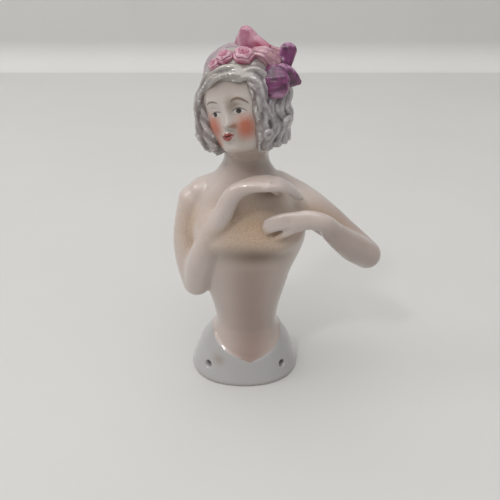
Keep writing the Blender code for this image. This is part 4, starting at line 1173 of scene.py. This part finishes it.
def purple_glaze():
    """Deep purple brushed over white, magenta where it thins towards the rims."""
    material, paint, _, glaze = glazed("purple_glaze", coat=0.4, coat_roughness=0.12)
    brush = paint.between(paint.noise(600, 4), 0.3, 0.7)
    worn = paint.times(paint.mask("rim"), paint.between(paint.noise(900, 3), 0.2, 0.7))
    body = paint.mix(brush, colour(124, 58, 106), colour(66, 26, 56))
    body = paint.over(body, worn, 0.85, colour(196, 144, 180))
    paint.feed(glaze.inputs["Colour"], body)
    return material


def mauve_glaze(name, first, second):
    """Thin mauve wash, cloudy between two tones."""
    material, paint, _, glaze = glazed(name)
    cloud = paint.between(paint.noise(800, 4), 0.35, 0.65)
    paint.feed(glaze.inputs["Colour"], paint.mix(cloud, first, second))
    return material


# Stage

def plain(name, tone, patch):
    """Matte surface with faint clouds in its tone."""
    material = bpy.data.materials.new(name)
    material.use_nodes = True
    paint = Paint(material.node_tree)
    shader = material.node_tree.nodes["Principled BSDF"]
    shader.inputs["Roughness"].default_value = 0.7
    cloud = paint.between(paint.noise(14, 4), 0.3, 0.7)
    paint.feed(shader.inputs["Base Color"], paint.mix(cloud, tone, patch))
    return material


def make_stage():
    """Pale table that ends, far behind the doll, at a slightly darker wall with a soft foot."""
    wall_distance = 400
    cove = 24
    x = np.linspace(-900, 900, 3)[None, :]
    bend = np.radians(np.linspace(0, 90, 13))[:, None]
    curve_y = wall_distance + cove * np.sin(bend)
    curve_z = cove * (1 - np.cos(bend))
    pieces = (
        ("floor", np.array([[-500.0]]), np.array([[0.0]]), wall_distance, 0.0,
         plain("floor_paint", colour(198, 197, 194), colour(196, 195, 192))),
        ("wall", curve_y, curve_z, wall_distance + cove, 900.0,
         plain("wall_paint", colour(210, 209, 206), colour(208, 207, 204))))
    for name, y, z, last_y, last_z, material in pieces:
        rows_y = np.vstack([y, [[last_y]]])
        rows_z = np.vstack([z, [[last_z]]])
        grid = np.stack(np.broadcast_arrays(x, rows_y, rows_z), axis=-1)
        rows, columns = grid.shape[:2]
        index = np.arange(rows * columns).reshape(rows, columns)
        faces = np.stack([index[:-1, :-1], index[:-1, 1:], index[1:, 1:], index[1:, :-1]], axis=-1)
        mesh = mesh_of(name, grid.reshape(-1, 3), faces.reshape(-1, 4).tolist())
        mesh.shade_smooth()
        mesh.materials.append(material)
        surface = bpy.data.objects.new(name, mesh)
        bpy.context.scene.collection.objects.link(surface)


def make_camera():
    """The photograph's view, looking down on the doll from in front."""
    data = bpy.data.cameras.new("camera")
    data.sensor_width = SENSOR_WIDTH
    data.lens = SENSOR_WIDTH * FOCAL_PIXELS / FRAME_PIXELS
    data.clip_start = 0.005
    camera = bpy.data.objects.new("camera", data)
    camera.location = ((vector(*CAMERA_PLACE) + SHIFT) * MM).tolist()
    camera.rotation_euler = (math.radians(90 - CAMERA_DIP), 0, 0)
    bpy.context.scene.collection.objects.link(camera)
    bpy.context.scene.camera = camera


def lamp(name, place, target, size, energy):
    """White square lamp that faces a point; its energy is in watts."""
    data = bpy.data.lights.new(name, "AREA")
    data.size = size * MM
    data.energy = energy
    light = bpy.data.objects.new(name, data)
    light.location = ((vector(*place) + SHIFT) * MM).tolist()
    way = vector(*target) - vector(*place)
    light.rotation_euler = (math.atan2(math.hypot(way[0], way[1]), -way[2]), 0,
                            math.atan2(way[1], way[0]) - math.pi / 2)
    bpy.context.scene.collection.objects.link(light)


def make_light():
    """A broad lamp overhead, a window to the left, a small lamp for glints and an even surround."""
    lamp("ceiling", (-120, -150, 1250), (0, 60, 0), 1600, 14.5)
    lamp("window", (-800, 0, 700), (0, 0, 50), 300, 1.3)
    lamp("glint", (-350, -500, 800), (0, 0, 60), 90, 1.2)
    world = bpy.data.worlds.new("surround")
    world.use_nodes = True
    world.node_tree.nodes["Background"].inputs["Color"].default_value = (1, 1, 1, 1)
    world.node_tree.nodes["Background"].inputs["Strength"].default_value = 0.33
    bpy.context.scene.world = world
    bpy.context.scene.view_settings.view_transform = "Standard"


make_figure(figure_porcelain())
make_face(face_porcelain())
make_hair(hair_glaze())
PETALS = petal_glaze()
make_roses(PETALS)
make_loop(PETALS)
make_bow(purple_glaze(), mauve_glaze("knot_glaze", colour(186, 144, 150), colour(158, 112, 128)))
make_ribbon(mauve_glaze("ribbon_glaze", colour(158, 138, 146), colour(142, 122, 134)))
make_stage()
make_camera()
make_light()
